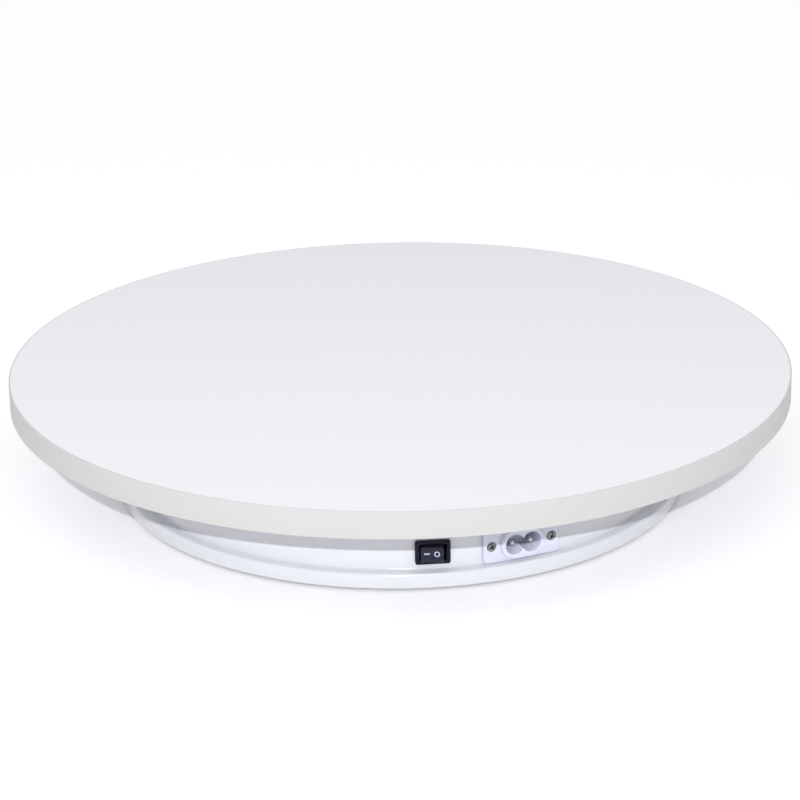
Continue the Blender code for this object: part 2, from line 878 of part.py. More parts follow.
def build_motor():
    """A flat synchronous gear motor: a round can with a collar and two mounting ears."""
    bottom = MOTOR_TOP - MOTOR_HEIGHT
    collar_top = MOTOR_TOP + 2.2 * MM
    bore = SHAFT_RADIUS + FIT_GAP
    bore_bottom = MOTOR_TOP - 6.5 * MM
    chamfer = 1.2 * MM
    can = turned(
        "motor_body",
        [
            (0, bore_bottom),
            (bore, bore_bottom),
            (bore, collar_top),
            (5.5 * MM, collar_top),
            (5.5 * MM, MOTOR_TOP),
            (MOTOR_RADIUS, MOTOR_TOP),
            (MOTOR_RADIUS, bottom + chamfer),
            (MOTOR_RADIUS - chamfer, bottom),
            (0, bottom),
        ],
        36,
        zinc_steel(),
    )
    can.location.y = MOTOR_Y
    ears = plate(
        "motor_ears",
        [stadium(2 * MOTOR_EAR_X + 9 * MM, 9 * MM, 6), circle(4.2 * MM, 16)],
        MOTOR_EAR_THICKNESS,
    )
    ears.location = (0, MOTOR_Y, MOTOR_EAR_BOTTOM + MOTOR_EAR_THICKNESS / 2)
    join(can, ears)
    for number, x in enumerate((-MOTOR_EAR_X, MOTOR_EAR_X), 1):
        hole = rod(
            f"ear_hole_{number}", 2.2 * MM, MOTOR_TOP - 4 * MM, MOTOR_TOP + 1 * MM, 12, place=(x, MOTOR_Y)
        )
        cut(can, hole)
        fastener = screw(f"motor_screw_{number}", 3.6 * MM, 2 * MM, 1.8 * MM, 6 * MM, zinc_steel())
        fastener.location = (x, MOTOR_Y, MOTOR_EAR_BOTTOM - 0.1 * MM)


def d_outline(radius, flat, steps=16):
    """A circle with a flat on its -Y side."""
    edge = math.degrees(math.acos(flat / radius))
    return arc((0, 0), radius, -90 + edge, 270 - edge, steps)


def build_motor_output():
    """What the motor turns: its D-shaft, the pinion on it and the screw in the shaft's end."""
    axis = bpy.data.objects.new("motor_axis", None)
    axis.location.y = MOTOR_Y
    bpy.data.collections[PARTS].objects.link(axis)
    shaft_bottom = MOTOR_TOP - 6.2 * MM
    shaft_top = PINION_TOP - TOUCHING_GAP
    thread_bottom = shaft_top - 6 * MM
    shaft = rod("motor_shaft", SHAFT_RADIUS, shaft_bottom, shaft_top, 24, zinc_steel(), axis)
    flat = box(
        "shaft_flat",
        (-5 * MM, -6 * MM, PINION_BOTTOM - 0.5 * MM),
        (5 * MM, -SHAFT_FLAT, shaft_top + 1 * MM),
        parent=axis,
    )
    thread = rod("shaft_thread", 1.8 * MM, thread_bottom, shaft_top + 1 * MM, 10, parent=axis)
    cut(shaft, flat, thread)
    teeth = tooth_outline(
        PINION_TEETH,
        tip_radius=PINION_PITCH_RADIUS + MODULE,
        root_radius=PINION_PITCH_RADIUS - 1.2 * MODULE,
        pitch_thickness=math.pi * MODULE / 2 - BACKLASH,
        flank_steps=3,
    )
    pinion = plate(
        "pinion",
        [teeth, d_outline(SHAFT_RADIUS + FIT_GAP, SHAFT_FLAT + FIT_GAP)],
        PINION_TOP - PINION_BOTTOM,
        gear_plastic(),
        axis,
    )
    pinion.location.z = (PINION_TOP + PINION_BOTTOM) / 2
    fastener = screw("pinion_screw", 4.2 * MM, 1.6 * MM, 1.5 * MM, 5.6 * MM, zinc_steel(), axis)
    fastener.rotation_euler.x = math.pi
    fastener.location.z = PINION_TOP + 0.1 * MM


def build_bush():
    flange_top = WELL_FLOOR + 1.8 * MM
    flange_bottom = WELL_FLOOR + TOUCHING_GAP
    turned(
        "spindle_bush",
        [
            (SPINDLE_RADIUS + FIT_GAP, flange_top),
            (BUSH_RADIUS + 2 * MM, flange_top),
            (BUSH_RADIUS + 2 * MM, flange_bottom),
            (BUSH_RADIUS, flange_bottom),
            (BUSH_RADIUS, BOSS_BOTTOM - 0.2 * MM),
            (SPINDLE_RADIUS + FIT_GAP, BOSS_BOTTOM - 0.2 * MM),
        ],
        24,
        bronze(),
    )


def build_rollers():
    """Six rollers that turn on radial axles. Each lies with its own Z along the radius."""
    half = ROLLER_WIDTH / 2
    chamfer = 0.8 * MM
    bore = AXLE_RADIUS + FIT_GAP
    profile = [
        (bore, half),
        (ROLLER_RADIUS - chamfer, half),
        (ROLLER_RADIUS, half - chamfer),
        (ROLLER_RADIUS, -half + chamfer),
        (ROLLER_RADIUS - chamfer, -half),
        (bore, -half),
    ]
    for number, azimuth in enumerate(ROLLER_AZIMUTHS, 1):
        centre = bpy.data.objects.new(f"roller_centre_{number}", None)
        bpy.data.collections[PARTS].objects.link(centre)
        centre.parent = frame_at(azimuth)
        centre.location = (0, -ROLLER_CIRCLE, ROLLER_Z)
        centre.rotation_euler.x = math.pi / 2
        turned(f"roller_{number}", profile, 18, gear_plastic(), centre)
        half_axle = AXLE_LENGTH / 2
        rod(f"roller_axle_{number}", AXLE_RADIUS, -half_axle, half_axle, 12, zinc_steel(), centre)


# ---------------------------------------------------------------- power inlet


def figure_eight():
    """Two round lobes that meet at a narrow waist."""
    bend = math.degrees(math.asin(WAIST_HALF_HEIGHT / LOBE_RADIUS))
    right = arc((LOBE_X, 0), LOBE_RADIUS, -180 + bend, 180 - bend, 15)
    left = arc((-LOBE_X, 0), LOBE_RADIUS, bend, 360 - bend, 15)
    return right + left


def build_inlet():
    frame = frame_at(INLET_AZIMUTH)
    flange_width, flange_height, flange_thickness = FLANGE_SIZE
    rim_width, rim_height, rim_thickness = SOCKET_RIM
    body_width, body_height, body_depth = SOCKET_BODY
    overlap = 0.7 * MM
    face = INLET_SEAT + flange_thickness
    mouth = face + rim_thickness
    back_end = INLET_SEAT - body_depth
    floor = mouth - SOCKET_DEPTH
    body = panel_plate(
        "inlet_body",
        rounded_rectangle(flange_width, flange_height, 2 * MM),
        INLET_SEAT,
        face,
        shell_plastic(),
        frame,
    )
    rim = panel_plate("socket_rim", stadium(rim_width, rim_height), face - overlap, mouth, parent=frame)
    back = panel_plate(
        "socket_back", stadium(body_width, body_height), back_end, INLET_SEAT + overlap, parent=frame
    )
    cavity = panel_plate("socket_cavity", figure_eight(), floor, mouth + 1 * MM, parent=frame)
    join(body, rim, back)
    cut(body, cavity)
    for number, x in enumerate((-PIN_X, PIN_X), 1):
        pin_hole = panel_plate(
            f"pin_hole_{number}",
            circle(PIN_RADIUS + 0.2 * MM, 12),
            back_end - 1 * MM,
            floor + 1 * MM,
            parent=frame,
            x=x,
        )
        cut(body, pin_hole)
        build_inlet_pin(number, x, frame, mouth)
    for number, x in enumerate((-INLET_SCREW_X, INLET_SCREW_X), 1):
        cut(body, countersink_way(f"flange_hole_{number}", x, frame, face))
        build_inlet_fastener(number, x, frame, face)


def build_inlet_pin(number, x, frame, mouth):
    """A round contact pin. Its tip stands back from the mouth and its tail takes the wire."""
    tip = mouth - 1.8 * MM
    tail = INLET_SEAT - SOCKET_BODY[2] - PIN_TAIL
    length = tip - tail
    pin = turned(
        f"inlet_pin_{number}",
        [
            (0, length),
            (0.6 * PIN_RADIUS, length - 0.2 * PIN_RADIUS),
            (PIN_RADIUS, length - PIN_RADIUS),
            (PIN_RADIUS, 0),
            (0, 0),
        ],
        12,
        nickel(),
        frame,
    )
    pin.rotation_euler.x = math.pi / 2
    pin.location = (x, -tail, PANEL_Z)


def countersink_way(name, x, frame, face):
    """The cutter for a countersunk hole through the flange."""
    clearance = 0.2 * MM
    head = INLET_SCREW_HEAD + clearance
    shank = INLET_SCREW_SHANK + clearance
    hole = turned(
        name,
        [
            (0, 4 * MM),
            (shank, 4 * MM),
            (shank, HEAD_LIP + head - shank),
            (head, HEAD_LIP),
            (head, -1 * MM),
            (0, -1 * MM),
        ],
        12,
        parent=frame,
    )
    hole.rotation_euler.x = -math.pi / 2
    hole.location = (x, -face + 0.1 * MM, PANEL_Z)
    return hole


def build_inlet_fastener(number, x, frame, face):
    """A domed countersunk screw through the flange and wall, with its nut inside."""
    fastener = countersunk_screw(
        f"inlet_screw_{number}",
        INLET_SCREW_HEAD,
        INLET_SCREW_SHANK,
        9.5 * MM,
        nickel(),
        frame,
        dome=0.5 * MM,
    )
    fastener.rotation_euler.x = -math.pi / 2
    fastener.location = (x, -face + 0.1 * MM, PANEL_Z)
    nut_thickness = 1.6 * MM
    nut_face = INLET_BACKING - TOUCHING_GAP
    nut = plate(
        f"inlet_nut_{number}",
        [circle(2.3 * MM, 6), circle(INLET_SCREW_SHANK + 0.2 * MM, 12)],
        nut_thickness,
        nickel(),
        frame,
    )
    stand_upright(nut, nut_face - nut_thickness, nut_face, x=x)


# ---------------------------------------------------------------- rocker switch


def build_switch():
    frame = frame_at(SWITCH_AZIMUTH)
    bezel_width, bezel_height, bezel_thickness = BEZEL_SIZE
    body_width, body_height, body_depth = SWITCH_BODY
    cavity_width, cavity_height, cavity_depth = SWITCH_CAVITY
    face = SEAT_RADIUS + bezel_thickness
    back = SEAT_RADIUS - body_depth
    body = panel_plate(
        "switch_body",
        rounded_rectangle(bezel_width, bezel_height, 0.8 * MM, 2),
        SEAT_RADIUS,
        face,
        black_plastic(),
        frame,
    )
    case = box(
        "switch_case",
        (-body_width / 2, -SEAT_RADIUS - 1 * MM, PANEL_Z - body_height / 2),
        (body_width / 2, -back, PANEL_Z + body_height / 2),
        parent=frame,
    )
    cavity = box(
        "switch_cavity",
        (-cavity_width / 2, -face - 1 * MM, PANEL_Z - cavity_height / 2),
        (cavity_width / 2, -face + cavity_depth, PANEL_Z + cavity_height / 2),
        parent=frame,
    )
    join(body, case)
    cut(body, cavity)
    blade_half_width = 2.4 * MM
    for number, x in enumerate((-3 * MM, 3 * MM), 1):
        box(
            f"switch_terminal_{number}",
            (x - 0.4 * MM, -back + TOUCHING_GAP, PANEL_Z - blade_half_width),
            (x + 0.4 * MM, -back + 7 * MM, PANEL_Z + blade_half_width),
            nickel(),
            frame,
        )
    build_rocker(frame)


def build_rocker(frame):
    """The rocker turns about an upright axis. At rest its left end, the on end, is pressed in."""
    end, dip, depth = 3.8 * MM, 3.1 * MM, 3.2 * MM
    foot = 3.6 * MM
    outline = [
        (-ROCKER_HALF_LENGTH, -end),
        (-foot, depth),
        (foot, depth),
        (ROCKER_HALF_LENGTH, -end),
        (0, -dip),
    ]
    rocker = plate("switch_rocker", [outline], ROCKER_HEIGHT, black_plastic(), frame)
    rocker.location = (0, -ROCKER_PIVOT, PANEL_Z)
    rocker.rotation_euler.z = ROCKER_TILT


# ---------------------------------------------------------------- wiring


def smooth_route(points, spacing):
    """Evenly stepped points on a Catmull-Rom curve through the route's own points."""
    padded = [2 * points[0] - points[1], *points, 2 * points[-1] - points[-2]]
    route = [points[0]]
    for before, start, end, after in zip(padded, padded[1:], padded[2:], padded[3:]):
        steps = max(1, round((end - start).length / spacing))
        for i in range(1, steps + 1):
            t = i / steps
            route.append(
                0.5
                * (
                    2 * start
                    + (end - before) * t
                    + (2 * before - 5 * start + 4 * end - after) * t**2
                    + (3 * start - before - 3 * end + after) * t**3
                )
            )
    return route


def wire(name, route, colour):
    radius = 1.1 * MM
    curve = bpy.data.curves.new(name, "CURVE")
    curve.dimensions = "3D"
    curve.bevel_depth = radius
    curve.bevel_resolution = 1
    curve.use_fill_caps = True
    points = smooth_route([Vector(p) * MM for p in route], 12 * MM)
    spline = curve.splines.new("POLY")
    spline.points.add(len(points) - 1)
    for point, place in zip(spline.points, points):
        point.co = (*place, 1)
    new_object(name, curve, wire_plastic(name, colour))


def build_wires():
    """Leads at the terminals' height that drop to run over the bottom plate, in millimetres."""
    height = PANEL_Z / MM
    pin_tail = (INLET_SEAT - SOCKET_BODY[2] - PIN_TAIL) / MM - 0.5
    blade_tail = (SEAT_RADIUS - SWITCH_BODY[2] - 7 * MM) / MM - 0.5
    azimuth = math.radians(SWITCH_AZIMUTH)

    def behind_switch(x, distance, z):
        return (
            x * math.cos(azimuth) + distance * math.sin(azimuth),
            x * math.sin(azimuth) - distance * math.cos(azimuth),
            z,
        )

    motor_front = (MOTOR_Y - MOTOR_RADIUS) / MM - 0.5
    wire(
        "wire_inlet_to_switch",
        [
            (-4.3, -pin_tail, height),
            (-4.6, -pin_tail + 5, height - 0.5),
            (-10, -88, height - 3),
            (-20, -86, height - 3),
            behind_switch(4, blade_tail - 6, height - 0.5),
            behind_switch(3, blade_tail, height),
        ],
        (0.35, 0.14, 0.05),
    )
    wire(
        "wire_switch_to_motor",
        [
            behind_switch(-3, blade_tail, height),
            behind_switch(-3.5, blade_tail - 7, height - 1.5),
            (-36, -70, 9),
            (-26, -38, 8),
            (-17, -8, 8),
            (-11, 8, 9.5),
            (-4, motor_front - 4, 11.5),
            (-3, motor_front, 12),
        ],
        (0.35, 0.14, 0.05),
    )
    wire(
        "wire_inlet_to_motor",
        [
            (4.3, -pin_tail, height),
            (5, -pin_tail + 7, height - 1.5),
            (12, -76, 9),
            (18, -42, 8),
            (15, -8, 8),
            (10, 8, 9.5),
            (4, motor_front - 4, 11.5),
            (3, motor_front, 12),
        ],
        (0.03, 0.12, 0.45),
    )


# ---------------------------------------------------------------- assembly


def finish_meshes():
    for obj in bpy.data.collections[PARTS].objects:
        if obj.type == "MESH" and obj.data.polygons:
            shade(obj.data)


def main():
    clear_scene()
    build_platter()
    build_carrier()
    build_platter_screws()
    build_ring_gear()
    build_spindle()
    build_base_shell()
    build_bottom_plate()
    build_feet()
    build_motor()
    build_motor_output()
    build_bush()
    build_rollers()
    build_inlet()
    build_switch()
    build_wires()
    finish_meshes()


main()
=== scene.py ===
import json
import math

import bmesh
import bpy
from mathutils import Matrix, Vector


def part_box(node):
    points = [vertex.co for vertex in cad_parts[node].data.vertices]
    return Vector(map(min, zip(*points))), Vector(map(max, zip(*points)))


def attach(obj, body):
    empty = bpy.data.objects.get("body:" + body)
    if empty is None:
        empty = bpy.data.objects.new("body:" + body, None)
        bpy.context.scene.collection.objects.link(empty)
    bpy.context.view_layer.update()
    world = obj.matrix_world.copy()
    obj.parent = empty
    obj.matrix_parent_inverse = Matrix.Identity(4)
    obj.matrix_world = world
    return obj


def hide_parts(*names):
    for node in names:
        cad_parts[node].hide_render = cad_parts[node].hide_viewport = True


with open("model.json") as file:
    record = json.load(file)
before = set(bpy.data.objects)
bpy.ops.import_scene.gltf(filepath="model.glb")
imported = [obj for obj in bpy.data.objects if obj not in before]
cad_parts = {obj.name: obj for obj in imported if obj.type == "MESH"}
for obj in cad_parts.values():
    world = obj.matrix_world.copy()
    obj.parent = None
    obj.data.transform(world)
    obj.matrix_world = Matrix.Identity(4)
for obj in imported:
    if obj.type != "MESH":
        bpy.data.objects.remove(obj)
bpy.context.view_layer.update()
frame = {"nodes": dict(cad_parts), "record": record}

# The looks of a motorised turntable display stand. Lengths are in metres. A panel fitting is made
# facing -Y and then turned about the platter's axis to its azimuth, from -Y towards +X.

# PAST is how far a cutter runs past what it cuts, and a joined piece runs into what it joins.

MM = 0.001
PAST = 1 * MM
JOINTS = {joint["name"]: joint for joint in frame["record"]["behaviour"]["joints"]}


# ---------------------------------------------------------------- sizes that the frame gives

band_low, band_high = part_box("platter_edge_band")
PLATTER_RADIUS = band_high.x
PLATTER_TOP = band_high.z
PLATTER_BOTTOM = band_low.z
BAND_THICKNESS = 0.5 * MM

shell_low, shell_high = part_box("base_shell")
BASE_RADIUS = shell_high.x
BASE_BOTTOM = shell_low.z
DECK_TOP = shell_high.z
SHELL = 2.5 * MM
LEDGE_TOP = BASE_BOTTOM + 6.8 * MM

WALL_RADIUS = BASE_RADIUS - 5.1 * MM

inlet_low, inlet_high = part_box("inlet_body")
MOUTH = -inlet_low.y
RIM_PROUD = 2.2 * MM
FLANGE_THICKNESS = 2 * MM
FLANGE_FACE = MOUTH - RIM_PROUD
INLET_SEAT = FLANGE_FACE - FLANGE_THICKNESS
INLET_FLAT = INLET_SEAT - 0.3 * MM
INLET_BACKING = INLET_FLAT - 3.3 * MM
SWITCH_SEAT = WALL_RADIUS + 0.3 * MM
PANEL_Z = (inlet_low.z + inlet_high.z) / 2

plate_low, plate_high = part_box("bottom_plate")
WELL_RADIUS = 71 * MM
WELL_FLOOR = 28.5 * MM
WELL_UNDER = WELL_FLOOR - SHELL
DECK_UNDER = DECK_TOP - 3 * MM

SCREW_WAY = 1.8 * MM
INLET_SCREW_WAY = 1.2 * MM
SHAFT_Y = JOINTS["pinion_spin"]["pos_m"][1]

pivot = Vector(JOINTS["rocker_tilt"]["pos_m"])
SWITCH_AZIMUTH = math.degrees(math.atan2(pivot.x, -pivot.y))
ROCKER_PIVOT = math.hypot(pivot.x, pivot.y)
ROCKER_REST = math.radians(-10)


# ---------------------------------------------------------------- materials


def blank_material(name):
    made = bpy.data.materials.new(name)
    made.use_nodes = True
    return made, made.node_tree.nodes, made.node_tree.links


def add_noise(nodes, links, scale, detail=4.0, stretch=(1, 1, 1)):
    """A noise texture in the object's own metres. Its scale is in cycles per metre."""
    place = nodes.new("ShaderNodeTexCoord")
    mapping = nodes.new("ShaderNodeMapping")
    mapping.inputs["Scale"].default_value = stretch
    noise = nodes.new("ShaderNodeTexNoise")
    noise.inputs["Scale"].default_value = scale
    noise.inputs["Detail"].default_value = detail
    links.new(place.outputs["Object"], mapping.inputs["Vector"])
    links.new(mapping.outputs["Vector"], noise.inputs["Vector"])
    return noise


def add_range(nodes, links, source, low, high):
    """A noise's usual spread of values, from 0.3 to 0.7, taken to low and high."""
    spread = nodes.new("ShaderNodeMapRange")
    spread.inputs["From Min"].default_value = 0.3
    spread.inputs["From Max"].default_value = 0.7
    spread.inputs["To Min"].default_value = low
    spread.inputs["To Max"].default_value = high
    links.new(source.outputs["Fac"], spread.inputs["Value"])
    return spread


def add_bump(nodes, links, source, depth):
    """Depth is the relief's height in metres."""
    bump = nodes.new("ShaderNodeBump")
    bump.inputs["Strength"].default_value = 1
    bump.inputs["Distance"].default_value = depth
    links.new(source.outputs["Fac"], bump.inputs["Height"])
    return bump


def surface(
    name,
    colour,
    roughness,
    mottle=0.02,
    mottle_scale=18,
    grain_scale=2500,
    grain_depth=0.01 * MM,
    stretch=(1, 1, 1),
    metallic=0.0,
    coat=0.0,
    specular=0.5,
    subsurface=0.0,
    spread=0.05,
):
    """A Principled surface whose colour, roughness and relief vary at the real thing's scale."""
    name = f"{name}_finish"
    found = bpy.data.materials.get(name)
    if found:
        return found
    made, nodes, links = blank_material(name)
    shader = nodes["Principled BSDF"]
    cloud = add_noise(nodes, links, mottle_scale)
    mix = nodes.new("ShaderNodeMix")
    mix.data_type = "RGBA"
    lighter = [min(1.0, c * (1 + mottle)) for c in colour]
    darker = [c * (1 - mottle) for c in colour]
    mix.inputs["A"].default_value = (*darker, 1)
    mix.inputs["B"].default_value = (*lighter, 1)
    links.new(cloud.outputs["Fac"], mix.inputs["Factor"])
    links.new(mix.outputs["Result"], shader.inputs["Base Color"])
    patches = add_noise(nodes, links, mottle_scale * 6, stretch=stretch)
    rough = add_range(nodes, links, patches, roughness * (1 - spread), roughness * (1 + spread))
    links.new(rough.outputs["Result"], shader.inputs["Roughness"])
    grain = add_noise(nodes, links, grain_scale, 2.0, stretch)
    bump = add_bump(nodes, links, grain, grain_depth)
    links.new(bump.outputs["Normal"], shader.inputs["Normal"])
    shader.inputs["Metallic"].default_value = metallic
    shader.inputs["Coat Weight"].default_value = coat
    shader.inputs["Coat Roughness"].default_value = 0.08
    shader.inputs["Specular IOR Level"].default_value = specular
    if subsurface:
        shader.inputs["Subsurface Weight"].default_value = subsurface
        shader.inputs["Subsurface Radius"].default_value = (1.0, 1.1, 1.4)
        shader.inputs["Subsurface Scale"].default_value = 1.2 * MM
    return made


def laminate():
    return surface(
        "laminate",
        (0.810, 0.818, 0.842),
        roughness=0.6,
        mottle=0.006,
        mottle_scale=9,
        grain_scale=450,
        grain_depth=0.003 * MM,
        specular=0.08,
        spread=0.02,
    )


def band_plastic():
    return surface(
        "band_plastic",
        # painted shade: the band is the same off-white as the board, but this colour is set darker
        # so that the rim reads duller than the lit top
        (0.571, 0.562, 0.557),
        roughness=0.5,
        mottle=0.01,
        mottle_scale=25,
        grain_scale=1800,
        grain_depth=0.006 * MM,
        stretch=(1, 1, 0.25),
        specular=0.15,
    )


def shell_gloss():
    return surface(
        "shell_gloss",
        (0.70, 0.702, 0.74),
        roughness=0.16,
        mottle=0.008,
        mottle_scale=14,
        grain_scale=260,
        grain_depth=0.012 * MM,
        coat=0.3,
    )


def plate_texture():
    return surface(
        "plate_texture",
        (0.80, 0.80, 0.82),
        roughness=0.45,
        mottle_scale=20,
        grain_scale=1500,
        grain_depth=0.06 * MM,
    )


def carrier_plastic():
    return surface(
        "carrier_plastic",
        (0.78, 0.78, 0.76),
        roughness=0.4,
        mottle_scale=22,
        grain_scale=900,
        grain_depth=0.02 * MM,
    )


def acetal():
    return surface(
        "acetal",
        (0.80, 0.79, 0.73),
        roughness=0.35,
        mottle=0.03,
        mottle_scale=60,
        grain_scale=1200,
        grain_depth=0.02 * MM,
        subsurface=0.1,
    )


def foot_rubber():
    return surface(
        "foot_rubber",
        (0.035, 0.035, 0.036),
        roughness=0.75,
        mottle=0.15,
        mottle_scale=300,
        grain_scale=2600,
        grain_depth=0.05 * MM,
    )


def inlet_nylon():
    return surface(
        "inlet_nylon",
        (0.675, 0.69, 0.80),
        roughness=0.22,
        mottle=0.01,
        mottle_scale=80,
        grain_scale=700,
        subsurface=0.25,
    )


def metal(
    name,
    colour,
    roughness,
    mottle,
    mottle_scale,
    grain_scale=1500,
    grain_depth=0.01 * MM,
    stretch=(1, 1, 1),
):
    return surface(
        name,
        colour,
        roughness,
        mottle,
        mottle_scale,
        grain_scale,
        grain_depth,
        stretch,
        metallic=1.0,
    )


def nickel_plate():
    return metal("nickel_plate", (0.27, 0.265, 0.26), 0.14, mottle=0.06, mottle_scale=400)


def contact_nickel():
    return metal("contact_nickel", (0.62, 0.61, 0.59), 0.14, mottle=0.05, mottle_scale=400)


def zinc_plate():
    return metal(
        "zinc_plate", (0.62, 0.62, 0.60), 0.3, mottle=0.1, mottle_scale=260, grain_depth=0.02 * MM
    )


def drawn_steel():
    return metal(
        "drawn_steel",
        (0.58, 0.58, 0.57),
        0.34,
        mottle=0.08,
        mottle_scale=90,
        grain_scale=900,
        grain_depth=0.02 * MM,
        stretch=(1, 1, 6),
    )


def bronze():
    return metal(
        "bronze",
        (0.56, 0.38, 0.20),
        0.45,
        mottle=0.15,
        mottle_scale=500,
        grain_scale=2500,
        grain_depth=0.04 * MM,
    )


def switch_black():
    return surface(
        "switch_black",
        (0.007, 0.0075, 0.018),
        roughness=0.25,
        mottle=0.15,
        mottle_scale=120,
        grain_scale=1500,
        grain_depth=0.008 * MM,
        specular=0.2,
    )


def rocker_black():
    return surface(
        "rocker_black",
        (0.0145, 0.016, 0.029),
        roughness=0.3,
        mottle=0.1,
        mottle_scale=120,
        grain_scale=1800,
        grain_depth=0.015 * MM,
        specular=0.25,
    )


def mark_white():
    return surface(
        "mark_white", (0.58, 0.63, 0.84), roughness=0.4, mottle_scale=300, grain_depth=0.005 * MM
    )


def wire_skin(name, colour):
    return surface(
        name,
        colour,
        roughness=0.42,
        mottle=0.05,
        mottle_scale=150,
        grain_scale=1200,
        grain_depth=0.02 * MM,
    )


# ---------------------------------------------------------------- shape tools


def arc(centre, radius, start, end, steps):
    """Points along an arc, with both ends. Angles are in degrees."""
    angles = [math.radians(start + (end - start) * i / steps) for i in range(steps + 1)]
    return [(centre[0] + radius * math.cos(a), centre[1] + radius * math.sin(a)) for a in angles]


def eased(corners, steps=5):
    """A closed outline of (x, y, radius) corners, each rounded to its radius."""
    points = []
    for i, (x, y, radius) in enumerate(corners):
        corner = Vector((x, y))
        if radius == 0:
            points.append(tuple(corner))
            continue
        to_last = (Vector(corners[i - 1][:2]) - corner).normalized()
        to_next = (Vector(corners[(i + 1) % len(corners)][:2]) - corner).normalized()
        half = to_last.angle(to_next) / 2
        centre = corner + (to_last + to_next).normalized() * radius / math.sin(half)
        first = corner + to_last * radius / math.tan(half) - centre
        last = corner + to_next * radius / math.tan(half) - centre
        start = math.atan2(first.y, first.x)
        sweep = math.remainder(math.atan2(last.y, last.x) - start, 2 * math.pi)
        points += arc(centre, radius, math.degrees(start), math.degrees(start + sweep), steps)
    return points


def solid_profile(corners):
    """A turned solid's half section: eased (radius, height, ease) corners from its top to its
    underside, closed on the axis at both."""
    top, bottom = corners[0][1], corners[-1][1]
    near_axis = [(1 * MM, bottom, 0), (1 * MM, top, 0)]
    return [(0, top)] + eased(corners + near_axis)[: -len(near_axis)] + [(0, bottom)]


def rounded_rectangle(width, height, corner, inset=0.0, steps=6):
    x, y = width / 2 - corner, height / 2 - corner
    radius = corner - inset
    points = []
    for sign_x, sign_y, start in ((1, 1, 0), (-1, 1, 90), (-1, -1, 180), (1, -1, 270)):
        points += arc((sign_x * x, sign_y * y), radius, start, start + 90, steps)
    return points


def stadium(width, height, inset=0.0, steps=20):
    x = (width - height) / 2
    radius = height / 2 - inset
    return arc((x, 0), radius, -90, 90, steps) + arc((-x, 0), radius, 90, 270, steps)


def finish_mesh(name, work, finish, sharp=40):
    """The object made from a bmesh, with smooth shading broken at sharp edges."""
    bmesh.ops.recalc_face_normals(work, faces=work.faces)
    mesh = bpy.data.meshes.new(name)
    work.to_mesh(mesh)
    work.free()
    mesh.shade_smooth()
    mesh.set_sharp_from_angle(angle=math.radians(sharp))
    obj = bpy.data.objects.new(name, mesh)
    bpy.context.scene.collection.objects.link(obj)
    if finish:
        mesh.materials.append(finish)
    return obj


def lathe(name, profile, finish=None, segments=192, sharp=40):
    """Spins (radius, height) points round Z. A profile with ends on the axis is closed there, and
    any other is a closed loop."""
    work = bmesh.new()
    turns = [2 * math.pi * (i + 0.5) / segments for i in range(segments)]
    rings = []
    for radius, height in profile:
        if radius == 0:
            rings.append([work.verts.new((0, 0, height))])
        else:
            ring = [(radius * math.cos(a), radius * math.sin(a), height) for a in turns]
            rings.append([work.verts.new(point) for point in ring])
    pairs = list(zip(rings, rings[1:]))
    if profile[0][0] != 0:
        pairs.append((rings[-1], rings[0]))
    for one, other in pairs:
        bridge(work, one, other)
    return finish_mesh(name, work, finish, sharp)


def bridge(work, one, other):
    """Faces between two rings, either of which may be a single point."""
    for i in range(max(len(one), len(other))):
        corners = [one[i % len(one)], one[(i + 1) % len(one)]]
        corners += [other[(i + 1) % len(other)], other[i % len(other)]]
        face = list(dict.fromkeys(corners))
        if len(face) > 2:
            work.faces.new(face)


def loft(name, loops, finish=None, sharp=40):
    """A solid through a row of closed loops with the same number of points."""
    work = bmesh.new()
    rings = [[work.verts.new(point) for point in loop] for loop in loops]
    for one, other in zip(rings, rings[1:]):
        bridge(work, one, other)
    work.faces.new(rings[0])
    work.faces.new(rings[-1])
    return finish_mesh(name, work, finish, sharp)


def panel_loop(outline, distance, x=0.0):
    """A flat outline stood up facing -Y at a distance from the platter's axis."""
    return [(x + across, -distance, PANEL_Z + up) for across, up in outline]


def panel_slab(name, outline, near, far, ease, finish=None, x=0.0, steps=4):
    """A slab facing -Y with a rounded front edge. outline(inset) gives its edge drawn in."""
    loops = [panel_loop(outline(0), near, x)]
    for i in range(steps + 1):
        turn = math.pi / 2 * i / steps
        inset = ease * (1 - math.cos(turn))
        loops.append(panel_loop(outline(inset), far - ease * (1 - math.sin(turn)), x))
    return loft(name, loops, finish)


def box(name, low, high, finish=None):
    work = bmesh.new()
    bmesh.ops.create_cube(work, size=1)
    low, high = Vector(low), Vector(high)
    for vertex in work.verts:
        vertex.co = Vector(a * b for a, b in zip(vertex.co, high - low)) + (low + high) / 2
    return finish_mesh(name, work, finish)


def rod(name, radius, bottom, top, place=(0, 0), finish=None, segments=48):
    made = lathe(name, [(0, top), (radius, top), (radius, bottom), (0, bottom)], finish, segments)
    made.data.transform(Matrix.Translation((*place, 0)))
    return made


def move(obj, matrix):
    obj.data.transform(matrix)
    return obj


def turn_to(obj, azimuth):
    """Turns what faces -Y to an azimuth in degrees."""
    return move(obj, Matrix.Rotation(math.radians(azimuth), 4, "Z"))


def combine(target, operation, others):
    """Applies Boolean cuts (DIFFERENCE) or joins (UNION) in turn, and removes the other objects."""
    for other in others:
        boolean = target.modifiers.new(other.name, "BOOLEAN")
        boolean.operation = operation
        boolean.solver = "EXACT"
        boolean.object = other
    bake(target)
    for other in others:
        bpy.data.objects.remove(other)
    return target


def bake(obj, sharp=40):
    """Replaces an object's mesh by what its modifiers make of it."""
    evaluated = obj.evaluated_get(bpy.context.evaluated_depsgraph_get())
    mesh = bpy.data.meshes.new_from_object(evaluated)
    obj.modifiers.clear()
    obj.data = mesh
    mesh.name = obj.name
    mesh.shade_smooth()
    mesh.set_sharp_from_angle(angle=math.radians(sharp))
    return obj


def cut(target, *cutters):
    return combine(target, "DIFFERENCE", cutters)


